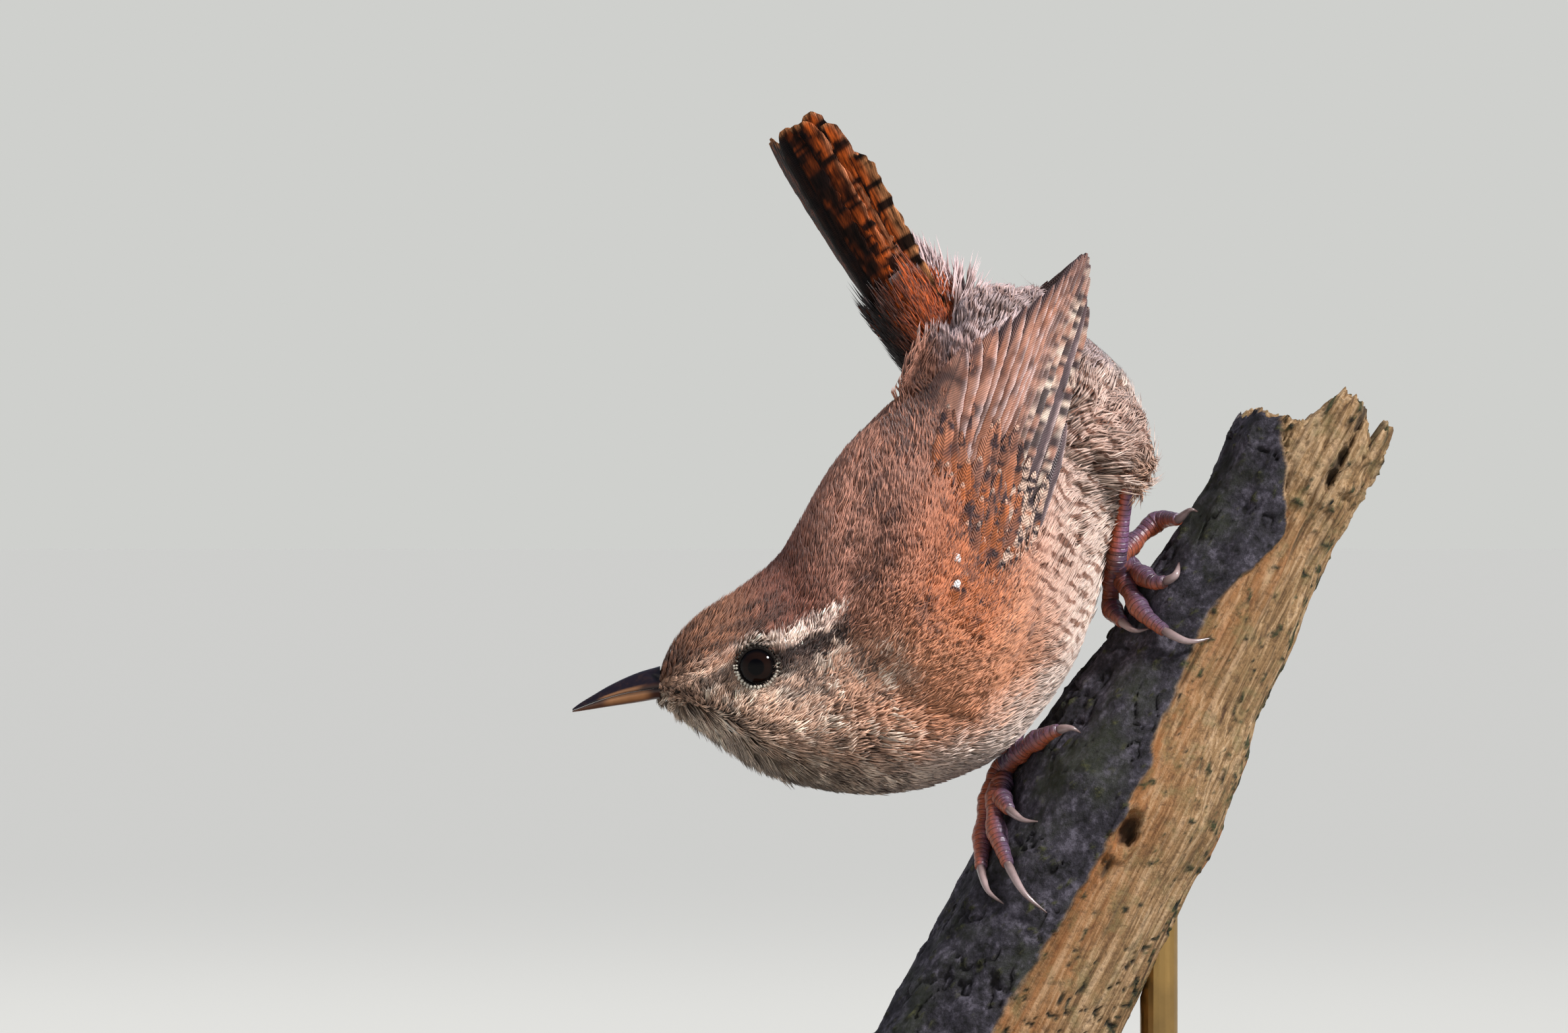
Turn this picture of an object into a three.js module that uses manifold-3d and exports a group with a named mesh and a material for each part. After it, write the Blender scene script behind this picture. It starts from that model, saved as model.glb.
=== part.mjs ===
// A Eurasian wren, life size, head low and tail cocked, gripping a broken branch on a small display stand.
// Millimetres. +X runs from bill to tail, +Z is up, and the bird's left side faces -Y.
// The origin is the middle of the underside of the stand's base.

import * as THREE from "three";
import { mergeVertices } from "three/addons/utils/BufferGeometryUtils.js";
import Module from "manifold-3d";

const wasm = await Module();
wasm.setup();

// Driving dimensions
const GAP = 0.3;                       // clearance between neighbouring pieces
const BASE = { length: 96, width: 64, height: 6, corner: 9, bevel: 0.8 };
const ROD_RADIUS = 2.0;
const REAR_ROD = { x: 18.4, y: 4 };    // second rod, under the branch's right flank
const BODY_SLOPE = 53;                 // degrees, rump above breast
const BODY_LEAN = 18;                  // degrees, back rolled towards -Y
const BODY_AXIS = { x: -2.2, z: 74.5 };
const RING_SIDES = 24;
const HEAD_END = 4.4;                  // stations where the head and the neck end
const NECK_END = 6;
const EYE = { x: -25.0, z: 63.5, ball: 2.45, opening: 1.93, forward: 14, up: 4, lid: 0.36 };
const PERCH = { footX: -3.4, footZ: 14, topX: 36.4, topZ: 90.6, y: 4, sides: 24 };
const TARSUS_RADIUS = 0.85;
const TOE_RADIUS = 0.8;
const TAIL_TIPS = { left: [0.99, 0.99, 0.99, 0.985, 0.92, 0.79], right: [0.99, 0.99, 0.99, 0.99, 0.99, 0.985] };
const WING_ROOM = 2.1;                 // thickness kept clear around the wing where the tail starts
const WING_DOME = 15.2;                // height of the folded wing's sheet over the torso's middle plane
const WING_WRAP = 0.13;                // how fast the sheet bends down over the back
const REAR_ROD_TOP = 40;               // well inside the branch, which cuts the rod
const SAWN = { wide: 90, deep: 60, high: 30 };
const HALF_SPACE = { side: 120, deep: 60 };
const VANE_THICKNESS = 0.52;
const WING_BEDDING = 1.4;              // depth of soft feathers between torso and folded wing
const WINGS = {
  left: { sign: 1, x: -3.0, z: 72.1, slope: 70 },
  right: { sign: -1, x: -3.6, z: 71.4, slope: 64.5 },
};
const TAIL = { x: -5.3, y: 0.4, z: 92.8, slope: 127.5, roll: 35, tent: 18, length: 31.6, bow: 0.0035 };

const rad = THREE.MathUtils.degToRad;
const lerp = THREE.MathUtils.lerp;
const clamp = THREE.MathUtils.clamp;
const vec = (x, y, z) => new THREE.Vector3(x, y, z);

// Finishes
const finish = (color, roughness, metalness = 0) =>
  new THREE.MeshStandardMaterial({ color, roughness, metalness });
const FINISH = {
  base: finish(0x3a2c22, 0.5),
  rod: finish(0x8a7f6e, 0.35, 0.9),
  bark: finish(0x4a4a3c, 0.9),
  back: finish(0x7a5236, 0.85),
  breast: finish(0xa98a68, 0.85),
  wing: finish(0x8a5a38, 0.8),
  tail: finish(0x6a3c22, 0.8),
  billTop: finish(0x3c3440, 0.4),
  billUnder: finish(0xb08a5c, 0.4),
  eye: finish(0x140c08, 0.08),
  leg: finish(0x9a6a58, 0.55),
};

// Meshes and solids

// Closed surface through rings of points that run the same way round, with a flat fan on each end.
function loft(rings) {
  const count = rings[0].length;
  const points = rings.flat();
  const faces = [];
  for (let i = 0; i + 1 < rings.length; i++) {
    for (let j = 0; j < count; j++) {
      const a = i * count + j;
      const b = i * count + (j + 1) % count;
      faces.push(a, b, b + count, a, b + count, a + count);
    }
  }
  for (const [row, turn] of [[0, 1], [rings.length - 1, -1]]) {
    const middle = points.length;
    const centre = rings[row].reduce((sum, p) => sum.add(p), vec(0, 0, 0)).divideScalar(count);
    points.push(centre);
    for (let j = 0; j < count; j++) {
      const a = row * count + j;
      const b = row * count + (j + 1) % count;
      faces.push(...(turn > 0 ? [middle, b, a] : [middle, a, b]));
    }
  }
  return closedGeometry(points, faces);
}

// Geometry from points and faces, turned so that its faces point out.
function closedGeometry(points, faces) {
  let volume = 0;
  for (let i = 0; i < faces.length; i += 3) {
    const [a, b, c] = [points[faces[i]], points[faces[i + 1]], points[faces[i + 2]]];
    volume += a.dot(vec(0, 0, 0).crossVectors(b, c));
  }
  const index = volume < 0 ? faces.slice().reverse() : faces;
  const geometry = new THREE.BufferGeometry();
  geometry.setAttribute("position", new THREE.Float32BufferAttribute(points.flatMap((p) => p.toArray()), 3));
  geometry.setIndex(index);
  return geometry;
}

function solidOf(geometry) {
  const bare = geometry.clone();
  bare.deleteAttribute("normal");
  bare.deleteAttribute("uv");
  const merged = mergeVertices(bare, 1e-4);
  const mesh = new wasm.Mesh({
    numProp: 3,
    vertProperties: new Float32Array(merged.attributes.position.array),
    triVerts: new Uint32Array(merged.index.array),
  });
  return new wasm.Manifold(mesh);
}

function geometryOf(solid) {
  const mesh = solid.getMesh();
  const geometry = new THREE.BufferGeometry();
  geometry.setAttribute("position", new THREE.Float32BufferAttribute(mesh.vertProperties, 3));
  geometry.setIndex(Array.from(mesh.triVerts));
  return geometry;
}

const loftSolid = (rings) => solidOf(loft(rings));
const joined = (solids) => wasm.Manifold.union(solids);

// The largest closed surface of a solid: scraps and sealed hollows are dropped.
function largest(solid) {
  return solid.decompose().reduce((best, piece) => (piece.volume() > best.volume() ? piece : best));
}

const model = new THREE.Group();
model.name = "wren";

function addNode(name, solid, material) {
  const geometry = geometryOf(largest(solid));
  geometry.computeVertexNormals();
  const mesh = new THREE.Mesh(geometry, material);
  mesh.name = name;
  model.add(mesh);
}

function placed(geometry, position, axis) {
  const turn = new THREE.Quaternion().setFromUnitVectors(vec(0, 1, 0), axis.clone().normalize());
  return geometry.applyQuaternion(turn).translate(position.x, position.y, position.z);
}

// Tapered tube through points, with a radius at each point.
function tube(points, radii, { sides, steps }) {
  const path = new THREE.CatmullRomCurve3(points, false, "centripetal");
  const frames = path.computeFrenetFrames(steps, false);
  const rings = [];
  for (let i = 0; i <= steps; i++) {
    const t = i / steps;
    const centre = path.getPointAt(t);
    const along = t * (radii.length - 1);
    const k = Math.min(Math.floor(along), radii.length - 2);
    const radius = lerp(radii[k], radii[k + 1], along - k);
    const ring = [];
    for (let j = 0; j < sides; j++) {
      const angle = (2 * Math.PI * j) / sides;
      const side = frames.normals[i].clone().multiplyScalar(radius * Math.cos(angle));
      const rise = frames.binormals[i].clone().multiplyScalar(radius * Math.sin(angle));
      ring.push(centre.clone().add(side).add(rise));
    }
    rings.push(ring);
  }
  return loftSolid(rings);
}

// The body: one loft from the bill's base to the vent, parted into head, neck and torso.

// Upper and lower outline of the body in its own middle plane, half width, how much narrower the
// upper half is, and the roll of the section, from the bill's base to the vent.
const STATIONS = [
  { top: [-34.5, 63.0], under: [-35.1, 59.4], half: 1.7, pinch: 0.0, lean: 4 },
  { top: [-33.0, 65.9], under: [-32.3, 57.4], half: 3.9, pinch: 0.05, lean: 4 },
  { top: [-30.5, 68.5], under: [-28.4, 55.0], half: 6.0, pinch: 0.1, lean: 5 },
  { top: [-26.3, 71.2], under: [-23.2, 51.6], half: 7.9, pinch: 0.12, lean: 7 },
  { top: [-22.3, 74.3], under: [-17.2, 49.8], half: 9.6, pinch: 0.1, lean: 10 },
  { top: [-19.7, 77.9], under: [-10.9, 49.5], half: 11.6, pinch: 0.06, lean: 14 },
  { top: [-17.2, 82.0], under: [-4.7, 50.9], half: 13.2, pinch: 0.03, lean: 17 },
  { top: [-14.1, 86.2], under: [0.9, 53.7], half: 14.2, pinch: 0, lean: 18 },
  { top: [-10.2, 89.9], under: [5.8, 59.0], half: 14.2, pinch: 0, lean: 18 },
  { top: [-6.9, 92.3], under: [9.6, 65.7], half: 13.2, pinch: 0, lean: 18 },
  { top: [-5.0, 96.6], under: [13.2, 78.0], half: 11.4, pinch: 0, lean: 18 },
  { top: [-1.9, 100.8], under: [15.4, 85.6], half: 8.8, pinch: 0, lean: 18 },
  { top: [1.4, 102.4], under: [13.0, 94.4], half: 5.4, pinch: 0, lean: 18 },
  { top: [4.4, 102.3], under: [9.4, 98.6], half: 2.4, pinch: 0, lean: 18 },
];
const HEAD_Y = -1.6;
const BACKWARD = vec(Math.cos(rad(BODY_SLOPE)), 0, Math.sin(rad(BODY_SLOPE)));
const UPWARD = vec(-Math.sin(rad(BODY_SLOPE)), 0, Math.cos(rad(BODY_SLOPE)));

const spline = (a, b, c, d, t) =>
  0.5 * (2 * b + (c - a) * t + (2 * a - 5 * b + 4 * c - d) * t * t + (3 * b - a - 3 * c + d) * t ** 3);

// Section of the body at a station number s between the listed ones.
function section(s) {
  const last = STATIONS.length - 1;
  const at = clamp(s, 0, last - 1e-9);
  const i = Math.floor(at);
  const t = at - i;
  const near = [i - 1, i, i + 1, i + 2].map((k) => STATIONS[clamp(k, 0, last)]);
  const mix = (read) => spline(...near.map(read), t);
  const top = vec(mix((q) => q.top[0]), 0, mix((q) => q.top[1]));
  const under = vec(mix((q) => q.under[0]), 0, mix((q) => q.under[1]));
  const middle = top.clone().add(under).divideScalar(2);
  const lean = rad(mix((q) => q.lean));
  const drift = middle.clone().sub(vec(BODY_AXIS.x, 0, BODY_AXIS.z)).dot(UPWARD);
  const settled = clamp((s - HEAD_END) / (NECK_END - HEAD_END), 0, 1);
  middle.y = lerp(HEAD_Y, -Math.tan(rad(BODY_LEAN)) * drift, settled);
  const rise = top.clone().sub(under).divideScalar(2);
  rise.y = -Math.tan(lean) * rise.dot(UPWARD);
  const side = sideways(lean);
  return { top, under, middle, rise, side, half: mix((q) => q.half), pinch: mix((q) => q.pinch) };
}

// Unit vector towards the bird's left, for a roll in radians.
function sideways(lean) {
  return vec(0, -Math.cos(lean), 0).addScaledVector(UPWARD, -Math.sin(lean));
}

// Point on the body: s is the station, angle runs from the underside (-90) over the left side (0).
function bodyPoint(s, angle, extra = 0) {
  const cut = section(s);
  const tall = cut.rise.length();
  const rise = cut.rise.clone().multiplyScalar((Math.sin(angle) * (tall + extra)) / tall);
  const wide = (cut.half + extra) * Math.cos(angle) * (1 - cut.pinch * Math.sin(angle));
  return cut.middle.clone().add(rise).addScaledVector(cut.side, wide);
}

function bodyLoft(from, to, steps, extra = 0) {
  const rings = [];
  for (let i = 0; i <= steps; i++) {
    const s = lerp(from, to, i / steps);
    const ring = [];
    for (let j = 0; j < RING_SIDES; j++) {
      ring.push(bodyPoint(s, (2 * Math.PI * j) / RING_SIDES, extra));
    }
    rings.push(ring);
  }
  return rings;
}

// How far the body's surface, swollen by extra, stands from its middle plane at a place of that plane.
function bodyHalfWidth(x, z, extra = 0) {
  const off = (s) => {
    const cut = section(s);
    const chord = cut.top.clone().sub(cut.under);
    return chord.x * (z - cut.under.z) - chord.z * (x - cut.under.x);
  };
  let low = 0;
  let high = STATIONS.length - 1;
  if (off(low) * off(high) > 0) {
    return 0;
  }
  for (let i = 0; i < 24; i++) {
    const mid = (low + high) / 2;
    if (off(low) * off(mid) <= 0) {
      high = mid;
    } else {
      low = mid;
    }
  }
  const cut = section(low);
  const chord = cut.top.clone().sub(cut.under);
  const tall = chord.length() / 2;
  const above = vec(x, 0, z).sub(cut.under).dot(chord) / (2 * tall) - tall;
  const sine = above / (tall + extra);
  if (Math.abs(sine) >= 1) {
    return 0;
  }
  return (cut.half + extra) * Math.sqrt(1 - sine * sine) * (1 - cut.pinch * sine);
}

// A place of the torso's middle plane, moved to the left by side.
function torsoPlace(x, z, side) {
  const drift = vec(x - BODY_AXIS.x, 0, z - BODY_AXIS.z).dot(UPWARD);
  return vec(x, -Math.tan(rad(BODY_LEAN)) * drift, z).addScaledVector(sideways(rad(BODY_LEAN)), side);
}

// Shares of a station that leave half the clearance on each side of a parting.
const PART = 0.029;
const torsoLoft = (extra) => loftSolid(bodyLoft(NECK_END + PART - extra * 0.15, 13, 15, extra));
const torsoClear = torsoLoft(GAP);

// Feathers

// Share of a vane's full half width along it: narrow root, full middle, round tip.
function vaneWidth(t, tipStart) {
  const opening = Math.min(1, 0.5 + 1.6 * t);
  const closing = t < tipStart ? 1 : Math.sqrt(Math.max(0, 1 - ((t - tipStart) / (1 - tipStart)) ** 2));
  return opening * closing;
}

// One vane on a surface place(u, v, h). It runs from one (u, v) to another, bows sideways, and its
// section tilts so that its lower edge lies over the neighbour below it.
function vane(place, shape) {
  const { from, to, half, bow = 0, lift = 0, sink = 0.6, tilt = 0.2, tipStart = 0.8 } = shape;
  const { thickness = VANE_THICKNESS, along = [0, 0.3, 0.6, 0.82, 0.93, 0.985] } = shape;
  const run = [to[0] - from[0], to[1] - from[1]];
  const length = Math.hypot(run[0], run[1]);
  const aside = [-run[1] / length, run[0] / length];
  const rings = along.map((t) => {
    const shift = bow * Math.sin(Math.PI * t);
    const u = from[0] + run[0] * t + aside[0] * shift;
    const v = from[1] + run[1] * t + aside[1] * shift;
    const wide = half * vaneWidth(t, tipStart);
    const high = lift - sink * (1 - t) ** 2;
    const thick = thickness * (1 - 0.3 * t);
    const at = (q, h) => place(u + aside[0] * q, v + aside[1] * q, high - tilt * q + h);
    return [at(-wide, 0), at(wide, 0), at(wide, -thick), at(-wide, -thick)];
  });
  return loftVane(rings);
}

// Closed surface through four-cornered rings: upper and lower faces share the same diagonals.
function loftVane(rings) {
  const points = rings.flat();
  const faces = [];
  for (let i = 0; i + 1 < rings.length; i++) {
    const [a, b, c, d] = [0, 1, 2, 3].map((k) => i * 4 + k);
    const [e, f, g, h] = [0, 1, 2, 3].map((k) => (i + 1) * 4 + k);
    faces.push(a, b, f, a, f, e);
    faces.push(d, g, c, d, h, g);
    faces.push(b, c, g, b, g, f);
    faces.push(d, a, e, d, e, h);
  }
  const z = (rings.length - 1) * 4;
  faces.push(0, 2, 1, 0, 3, 2);
  faces.push(z, z + 1, z + 2, z, z + 2, z + 3);
  return solidOf(closedGeometry(points, faces));
}

// Stand

function buildStand() {
  const shape = new THREE.Shape();
  const [x, y, r] = [BASE.length / 2 - BASE.bevel, BASE.width / 2 - BASE.bevel, BASE.corner];
  shape.moveTo(-x + r, -y);
  shape.lineTo(x - r, -y);
  shape.absarc(x - r, -y + r, r, -Math.PI / 2, 0);
  shape.absarc(x - r, y - r, r, 0, Math.PI / 2);
  shape.absarc(-x + r, y - r, r, Math.PI / 2, Math.PI);
  shape.absarc(-x + r, -y + r, r, Math.PI, Math.PI * 1.5);
  const plate = new THREE.ExtrudeGeometry(shape, {
    depth: BASE.height - 2 * BASE.bevel,
    bevelThickness: BASE.bevel,
    bevelSize: BASE.bevel,
    bevelSegments: 1,
    curveSegments: 4,
  });
  plate.translate(0, 0, BASE.bevel);
  addNode("stand_base", solidOf(plate), FINISH.base);
  const foot = PERCH.footZ - GAP;
  addNode("stand_rod_1", rod(PERCH.footX, PERCH.y, foot), FINISH.rod);
  const rear = rod(REAR_ROD.x, REAR_ROD.y, REAR_ROD_TOP).subtract(perchSolid(GAP));
  addNode("stand_rod_2", lowest(rear), FINISH.rod);
}

function rod(x, y, top) {
  const bottom = BASE.height + GAP;
  const bar = new THREE.CylinderGeometry(ROD_RADIUS, ROD_RADIUS, top - bottom, 20);
  return solidOf(placed(bar, vec(x, y, (top + bottom) / 2), vec(0, 0, 1)));
}

// The piece of a cut solid that stands lowest.
function lowest(solid) {
  return solid.decompose().reduce((best, p) => (p.boundingBox().min[2] < best.boundingBox().min[2] ? p : best));
}

// Perch: a length of dead branch, sawn level below, snapped off ragged above, half of it split wood.

const PERCH_RADII = [11.8, 11.7, 11.5, 11.3, 11.1, 10.8, 11.3, 10.3, 9.0, 8.8, 8.0, 7.3, 7.9, 7.8];
const PERCH_RUN = vec(PERCH.topX - PERCH.footX, 0, PERCH.topZ - PERCH.footZ);
const PERCH_DIRECTION = PERCH_RUN.clone().normalize();
const PERCH_LEFT = vec(-PERCH_DIRECTION.z, 0, PERCH_DIRECTION.x);
const BARK = { from: 89, to: 330, step: 0.6 };   // degrees round the branch, from +X side over -Y
const KNOT = { x: 15.3, z: 45.5, radius: 2.6, depth: 1.6 };

// Plain radius of the branch at a share t of its length.
function perchRadius(t) {
  const at = clamp(t, 0, 1) * (PERCH_RADII.length - 1);
  const k = Math.min(Math.floor(at), PERCH_RADII.length - 2);
  return lerp(PERCH_RADII[k], PERCH_RADII[k + 1], at - k);
}

// Point at share t and angle round the branch: 0 is its right side, 90 the front, 180 the left side.
function perchPoint(t, degrees, extra = 0, inner = 1) {
  const angle = rad(degrees);
  const barked = degrees > BARK.from && degrees < BARK.to ? BARK.step : 0;
  const furrow = 0.22 * Math.sin(5 * angle + 9 * t) + 0.16 * Math.sin(11 * angle - 6 * t);
  const radius = (perchRadius(t) - BARK.step / 2 + barked + furrow + extra) * inner;
  const centre = vec(PERCH.footX, PERCH.y, PERCH.footZ).addScaledVector(PERCH_RUN, t);
  const point = centre.addScaledVector(PERCH_LEFT, -radius * Math.cos(angle));
  point.y -= radius * Math.sin(angle);
  return point;
}

// Height of the splinters on the broken top.
function splinter(degrees, inner) {
  const angle = rad(degrees);
  const comb = Math.abs(Math.sin(2.5 * angle + 0.6)) * 2.6 + 1.4 * Math.sin(7 * angle) ** 2;
  return (comb - 3.0) * (0.35 + 0.65 * inner) + 4.4 * inner * Math.cos(angle);
}

function perchSolid(extra = 0) {
  const rings = [];
  const steps = 15;
  const angles = Array.from({ length: PERCH.sides }, (_, j) => (360 * j) / PERCH.sides);
  const below = -0.12;
  for (let i = 0; i <= steps; i++) {
    const t = lerp(below, 0.965, i / steps);
    rings.push(angles.map((a) => perchPoint(t, a, extra)));
  }
  for (const inner of [1, 0.72, 0.4]) {
    rings.push(angles.map((a) => perchPoint(0.98, a, extra, inner)
      .addScaledVector(PERCH_DIRECTION, splinter(a, inner) + (1 - inner) * 1.5)));
  }
  const sawn = new THREE.BoxGeometry(SAWN.wide, SAWN.deep, SAWN.high);
  sawn.translate(PERCH.footX, PERCH.y, PERCH.footZ - extra - SAWN.high / 2);
  return loftSolid(rings).subtract(solidOf(sawn));
}

// Point on the near surface of the branch in front of (x, z), or beside it where it is out of sight.
function onPerch(x, z, lift) {
  const off = vec(x - PERCH.footX, 0, z - PERCH.footZ);
  const t = off.dot(PERCH_DIRECTION) / PERCH_RUN.length();
  const aside = off.dot(PERCH_LEFT);
  const reach = perchRadius(t) + BARK.step / 2 + lift;
  const depth = Math.sqrt(Math.max(0, reach * reach - aside * aside));
  return vec(x, PERCH.y - depth, z);
}

function buildPerch() {
  const knot = new THREE.SphereGeometry(KNOT.radius, 12, 8);
  const place = onPerch(KNOT.x, KNOT.z, 0);
  knot.scale(0.8, 1, 1.2);
  knot.translate(place.x, place.y - KNOT.radius + KNOT.depth, place.z);
  addNode("perch", perchSolid().subtract(solidOf(knot)), FINISH.bark);
}

// Head, eyes and bill

const headSection = section(3);
const HEAD_SIDE = headSection.side.clone();
const HEAD_UP = headSection.rise.clone().normalize();
const HEAD_FORWARD = vec(0, 0, 0).crossVectors(HEAD_SIDE, HEAD_UP).normalize();
if (HEAD_FORWARD.x > 0) {
  HEAD_FORWARD.negate();
}

// Centre of an eyeball and the way it looks; sign 1 is the left eye.
function eyePlace(sign) {
  const look = HEAD_SIDE.clone().multiplyScalar(sign)
    .addScaledVector(HEAD_FORWARD, Math.tan(rad(EYE.forward)))
    .addScaledVector(HEAD_UP, Math.tan(rad(EYE.up)))
    .normalize();
  const depth = Math.sqrt(EYE.ball ** 2 - EYE.opening ** 2);
  const centre = vec(EYE.x, HEAD_Y, EYE.z)
    .addScaledVector(HEAD_SIDE, sign * bodyHalfWidth(EYE.x, EYE.z))
    .addScaledVector(look, 0.25 - depth);
  return { centre, look, depth };
}

function ball(radius, centre, look, wide = 16, tall = 10) {
  return solidOf(placed(new THREE.SphereGeometry(radius, wide, tall), centre, look));
}

function buildHead() {
  let head = loftSolid(bodyLoft(0, HEAD_END - PART, 13));
  for (const sign of [1, -1]) {
    const { centre, look, depth } = eyePlace(sign);
    const lids = new THREE.TorusGeometry(EYE.opening + 0.45, EYE.lid, 5, 16);
    lids.rotateX(Math.PI / 2);
    const rim = centre.clone().addScaledVector(look, depth - 0.1);
    head = head.add(solidOf(placed(lids, rim, look)));
    head = head.subtract(ball(EYE.ball + GAP, centre, look));
  }
  const slot = new THREE.BoxGeometry(5.2, 30, GAP);
  slot.rotateY(rad(9));
  slot.translate(-33.4, HEAD_Y, 60.25);
  head = head.subtract(solidOf(slot).subtract(loftSolid(bodyLoft(0, HEAD_END, 13, -0.8))));
  addNode("head", head, FINISH.back);
  for (const [name, sign] of [["eye_left", 1], ["eye_right", -1]]) {
    const { centre, look } = eyePlace(sign);
    addNode(name, ball(EYE.ball, centre, look), FINISH.eye);
  }
}

// Outline of the bill from its root to its tip: culmen, mouth line, lower edge and half width.
const BILL = [
  { x: -35.1, culmen: 62.8, mouth: 60.55, lower: 59.4, half: 1.65 },
  { x: -36.8, culmen: 62.3, mouth: 60.3, lower: 59.1, half: 1.35 },
  { x: -38.5, culmen: 61.6, mouth: 60.0, lower: 58.85, half: 1.1 },
  { x: -40.2, culmen: 60.75, mouth: 59.55, lower: 58.6, half: 0.85 },
  { x: -41.8, culmen: 59.8, mouth: 59.0, lower: 58.35, half: 0.6 },
  { x: -43.1, culmen: 59.0, mouth: 58.5, lower: 58.15, half: 0.38 },
  { x: -43.9, culmen: 58.4, mouth: 58.22, lower: 58.05, half: 0.14 },
];

// Half a bill: a half-round section on a flat face, one way up or the other.
function mandible(rows, edge, way) {
  const sides = 9;
  return loftSolid(rows.map((row) => {
    const flatZ = row.mouth + way * (GAP / 2);
    const tall = Math.max(0.08, Math.abs(row[edge] - flatZ));
    const ring = [];
    for (let j = 0; j < sides; j++) {
      const angle = (Math.PI * j) / (sides - 1);
      const lift = tall * Math.sin(angle) ** 0.85 * way;
      ring.push(vec(row.x, HEAD_Y + row.half * Math.cos(angle), flatZ + lift));
    }
    return ring;
  }));
}

function buildBill() {
  let upper = mandible(BILL, "culmen", 1);
  for (const sign of [1, -1]) {
    const slit = new THREE.SphereGeometry(0.5, 10, 6);
    slit.scale(1.5, 0.7, 0.5);
    slit.rotateY(rad(14));
    slit.translate(-36.1, HEAD_Y - sign * 1.42, 61.15);
    upper = upper.subtract(solidOf(slit));
  }
  addNode("bill_upper", upper, FINISH.billTop);
  addNode("bill_lower", mandible(BILL.slice(0, -1), "lower", -1), FINISH.billUnder);
}

function buildTrunk() {
  addNode("neck", loftSolid(bodyLoft(HEAD_END + PART, NECK_END - PART, 6)), FINISH.back);
  addNode("torso", torsoLoft(0), FINISH.breast);
}

// Wings: u runs from the wrist to the tips, v from the lower edge over the back.

// Place (x, z) of the torso's middle plane under (u, v) of a wing.
function wingFoot(wing, u, v) {
  const [c, s] = [Math.cos(rad(wing.slope)), Math.sin(rad(wing.slope))];
  return [wing.x + u * c - v * s, wing.z + u * s + v * c];
}

// How far the folded wing's sheet stands from the middle plane: a shallow dome that wraps over the
// back, and nowhere closer to the body than the feathers under it.
function wingHeight(wing, u, v) {
  const dome = WING_DOME - 0.143 * u - 0.0032 * u * u + 0.179 * v - 0.037 * v * v - 0.014 * u * v;
  const wrapped = dome - WING_WRAP * Math.max(0, v - 6) ** 2;
  const resting = bodyHalfWidth(...wingFoot(wing, u, v), WING_BEDDING);
  const apart = wrapped - resting;
  return (wrapped + resting + Math.sqrt(apart * apart + 0.5)) / 2;
}

// Point at (u, v), h above the folded wing's sheet.
function wingPlace(wing, u, v, h) {
  const e = 0.05;
  const slopeU = (wingHeight(wing, u + e, v) - wingHeight(wing, u - e, v)) / (2 * e);
  const slopeV = (wingHeight(wing, u, v + e) - wingHeight(wing, u, v - e)) / (2 * e);
  const norm = Math.hypot(1, slopeU, slopeV);
  const [x, z] = wingFoot(wing, u - (slopeU * h) / norm, v - (slopeV * h) / norm);
  return torsoPlace(x, z, wing.sign * (wingHeight(wing, u, v) + h / norm));
}

// Count i of n, as a share from 0 to 1.
const share = (i, n) => (n > 1 ? i / (n - 1) : 0);

// Flight feathers from the outermost primary to the innermost tertial.
function flightFeathers() {
  const list = [];
  const primaryTips = [25, 31.4, 34.8, 36.8, 37.2, 36.0];
  primaryTips.forEach((tip, i) => {
    const k = share(i, primaryTips.length);
    list.push({ from: [lerp(3, 5, k), lerp(-0.3, 2.4, k)], to: [tip, lerp(-1.8, 1.0, k)], half: 1.5, bow: -0.8 });
  });
  for (let i = 0; i < 5; i++) {
    const k = share(i, 5);
    list.push({ from: [lerp(4.5, 6.5, k), lerp(3.3, 7.0, k)], to: [lerp(34.4, 29.6, k), lerp(1.8, 5.6, k)],
      half: 1.9, bow: -0.5 });
  }
  for (let i = 0; i < 3; i++) {
    const k = share(i, 3);
    list.push({ from: [lerp(7, 7.5, k), lerp(7.6, 9.4, k)], to: [lerp(27.4, 19.5, k), lerp(7.0, 9.4, k)],
      half: lerp(2.3, 2.0, k), bow: 0.2 });
  }
  return list.map((shape) => ({ ...shape, tilt: 0.34, lift: 0.15, tipStart: 0.7 }));
}

// Rows of coverts over the roots of the flight feathers.
function coverts() {
  const list = [];
  const row = (count, from, to, shape) => {
    for (let i = 0; i < count; i++) {
      const k = share(i, count);
      list.push({ tilt: 0.3, along: [0, 0.45, 0.8, 0.97], ...shape,
        from: [lerp(from[0], from[2], k), lerp(from[1], from[3], k)],
        to: [lerp(to[0], to[2], k), lerp(to[1], to[3], k)] });
    }
  };
  row(3, [0.5, -0.4, 1.5, 0.9], [12.5, -1.2, 13.5, 0.8], { half: 1.3, lift: 0.6 });
  row(5, [2.0, 2.0, 4.5, 8.2], [13.4, 2.4, 14.4, 8.8], { half: 1.75, lift: 0.65 });
  row(4, [-2.6, 1.4, 0.6, 8.2], [6.2, 2.1, 7.6, 8.6], { half: 1.95, lift: 1.1 });
  row(1, [-2.0, -0.2, -2.0, -0.2], [7.0, -0.7, 7.0, -0.7], { half: 1.3, lift: 1.0 });
  return list;
}

// Lower and upper edge, in v, of the folded wing's outline at u.
const WING_OUTLINE = [
  { u: -3.4, low: 1.2, high: 8.2 },
  { u: -1, low: -0.3, high: 8.5 },
  { u: 4, low: -0.9, high: 9.1 },
  { u: 10, low: -1.1, high: 9.8 },
  { u: 16, low: -1.2, high: 9.2 },
  { u: 22, low: -1.3, high: 8.4 },
  { u: 30, low: -1.4, high: 3.0 },
  { u: 37.6, low: -1.4, high: 0.6 },
];

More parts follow.
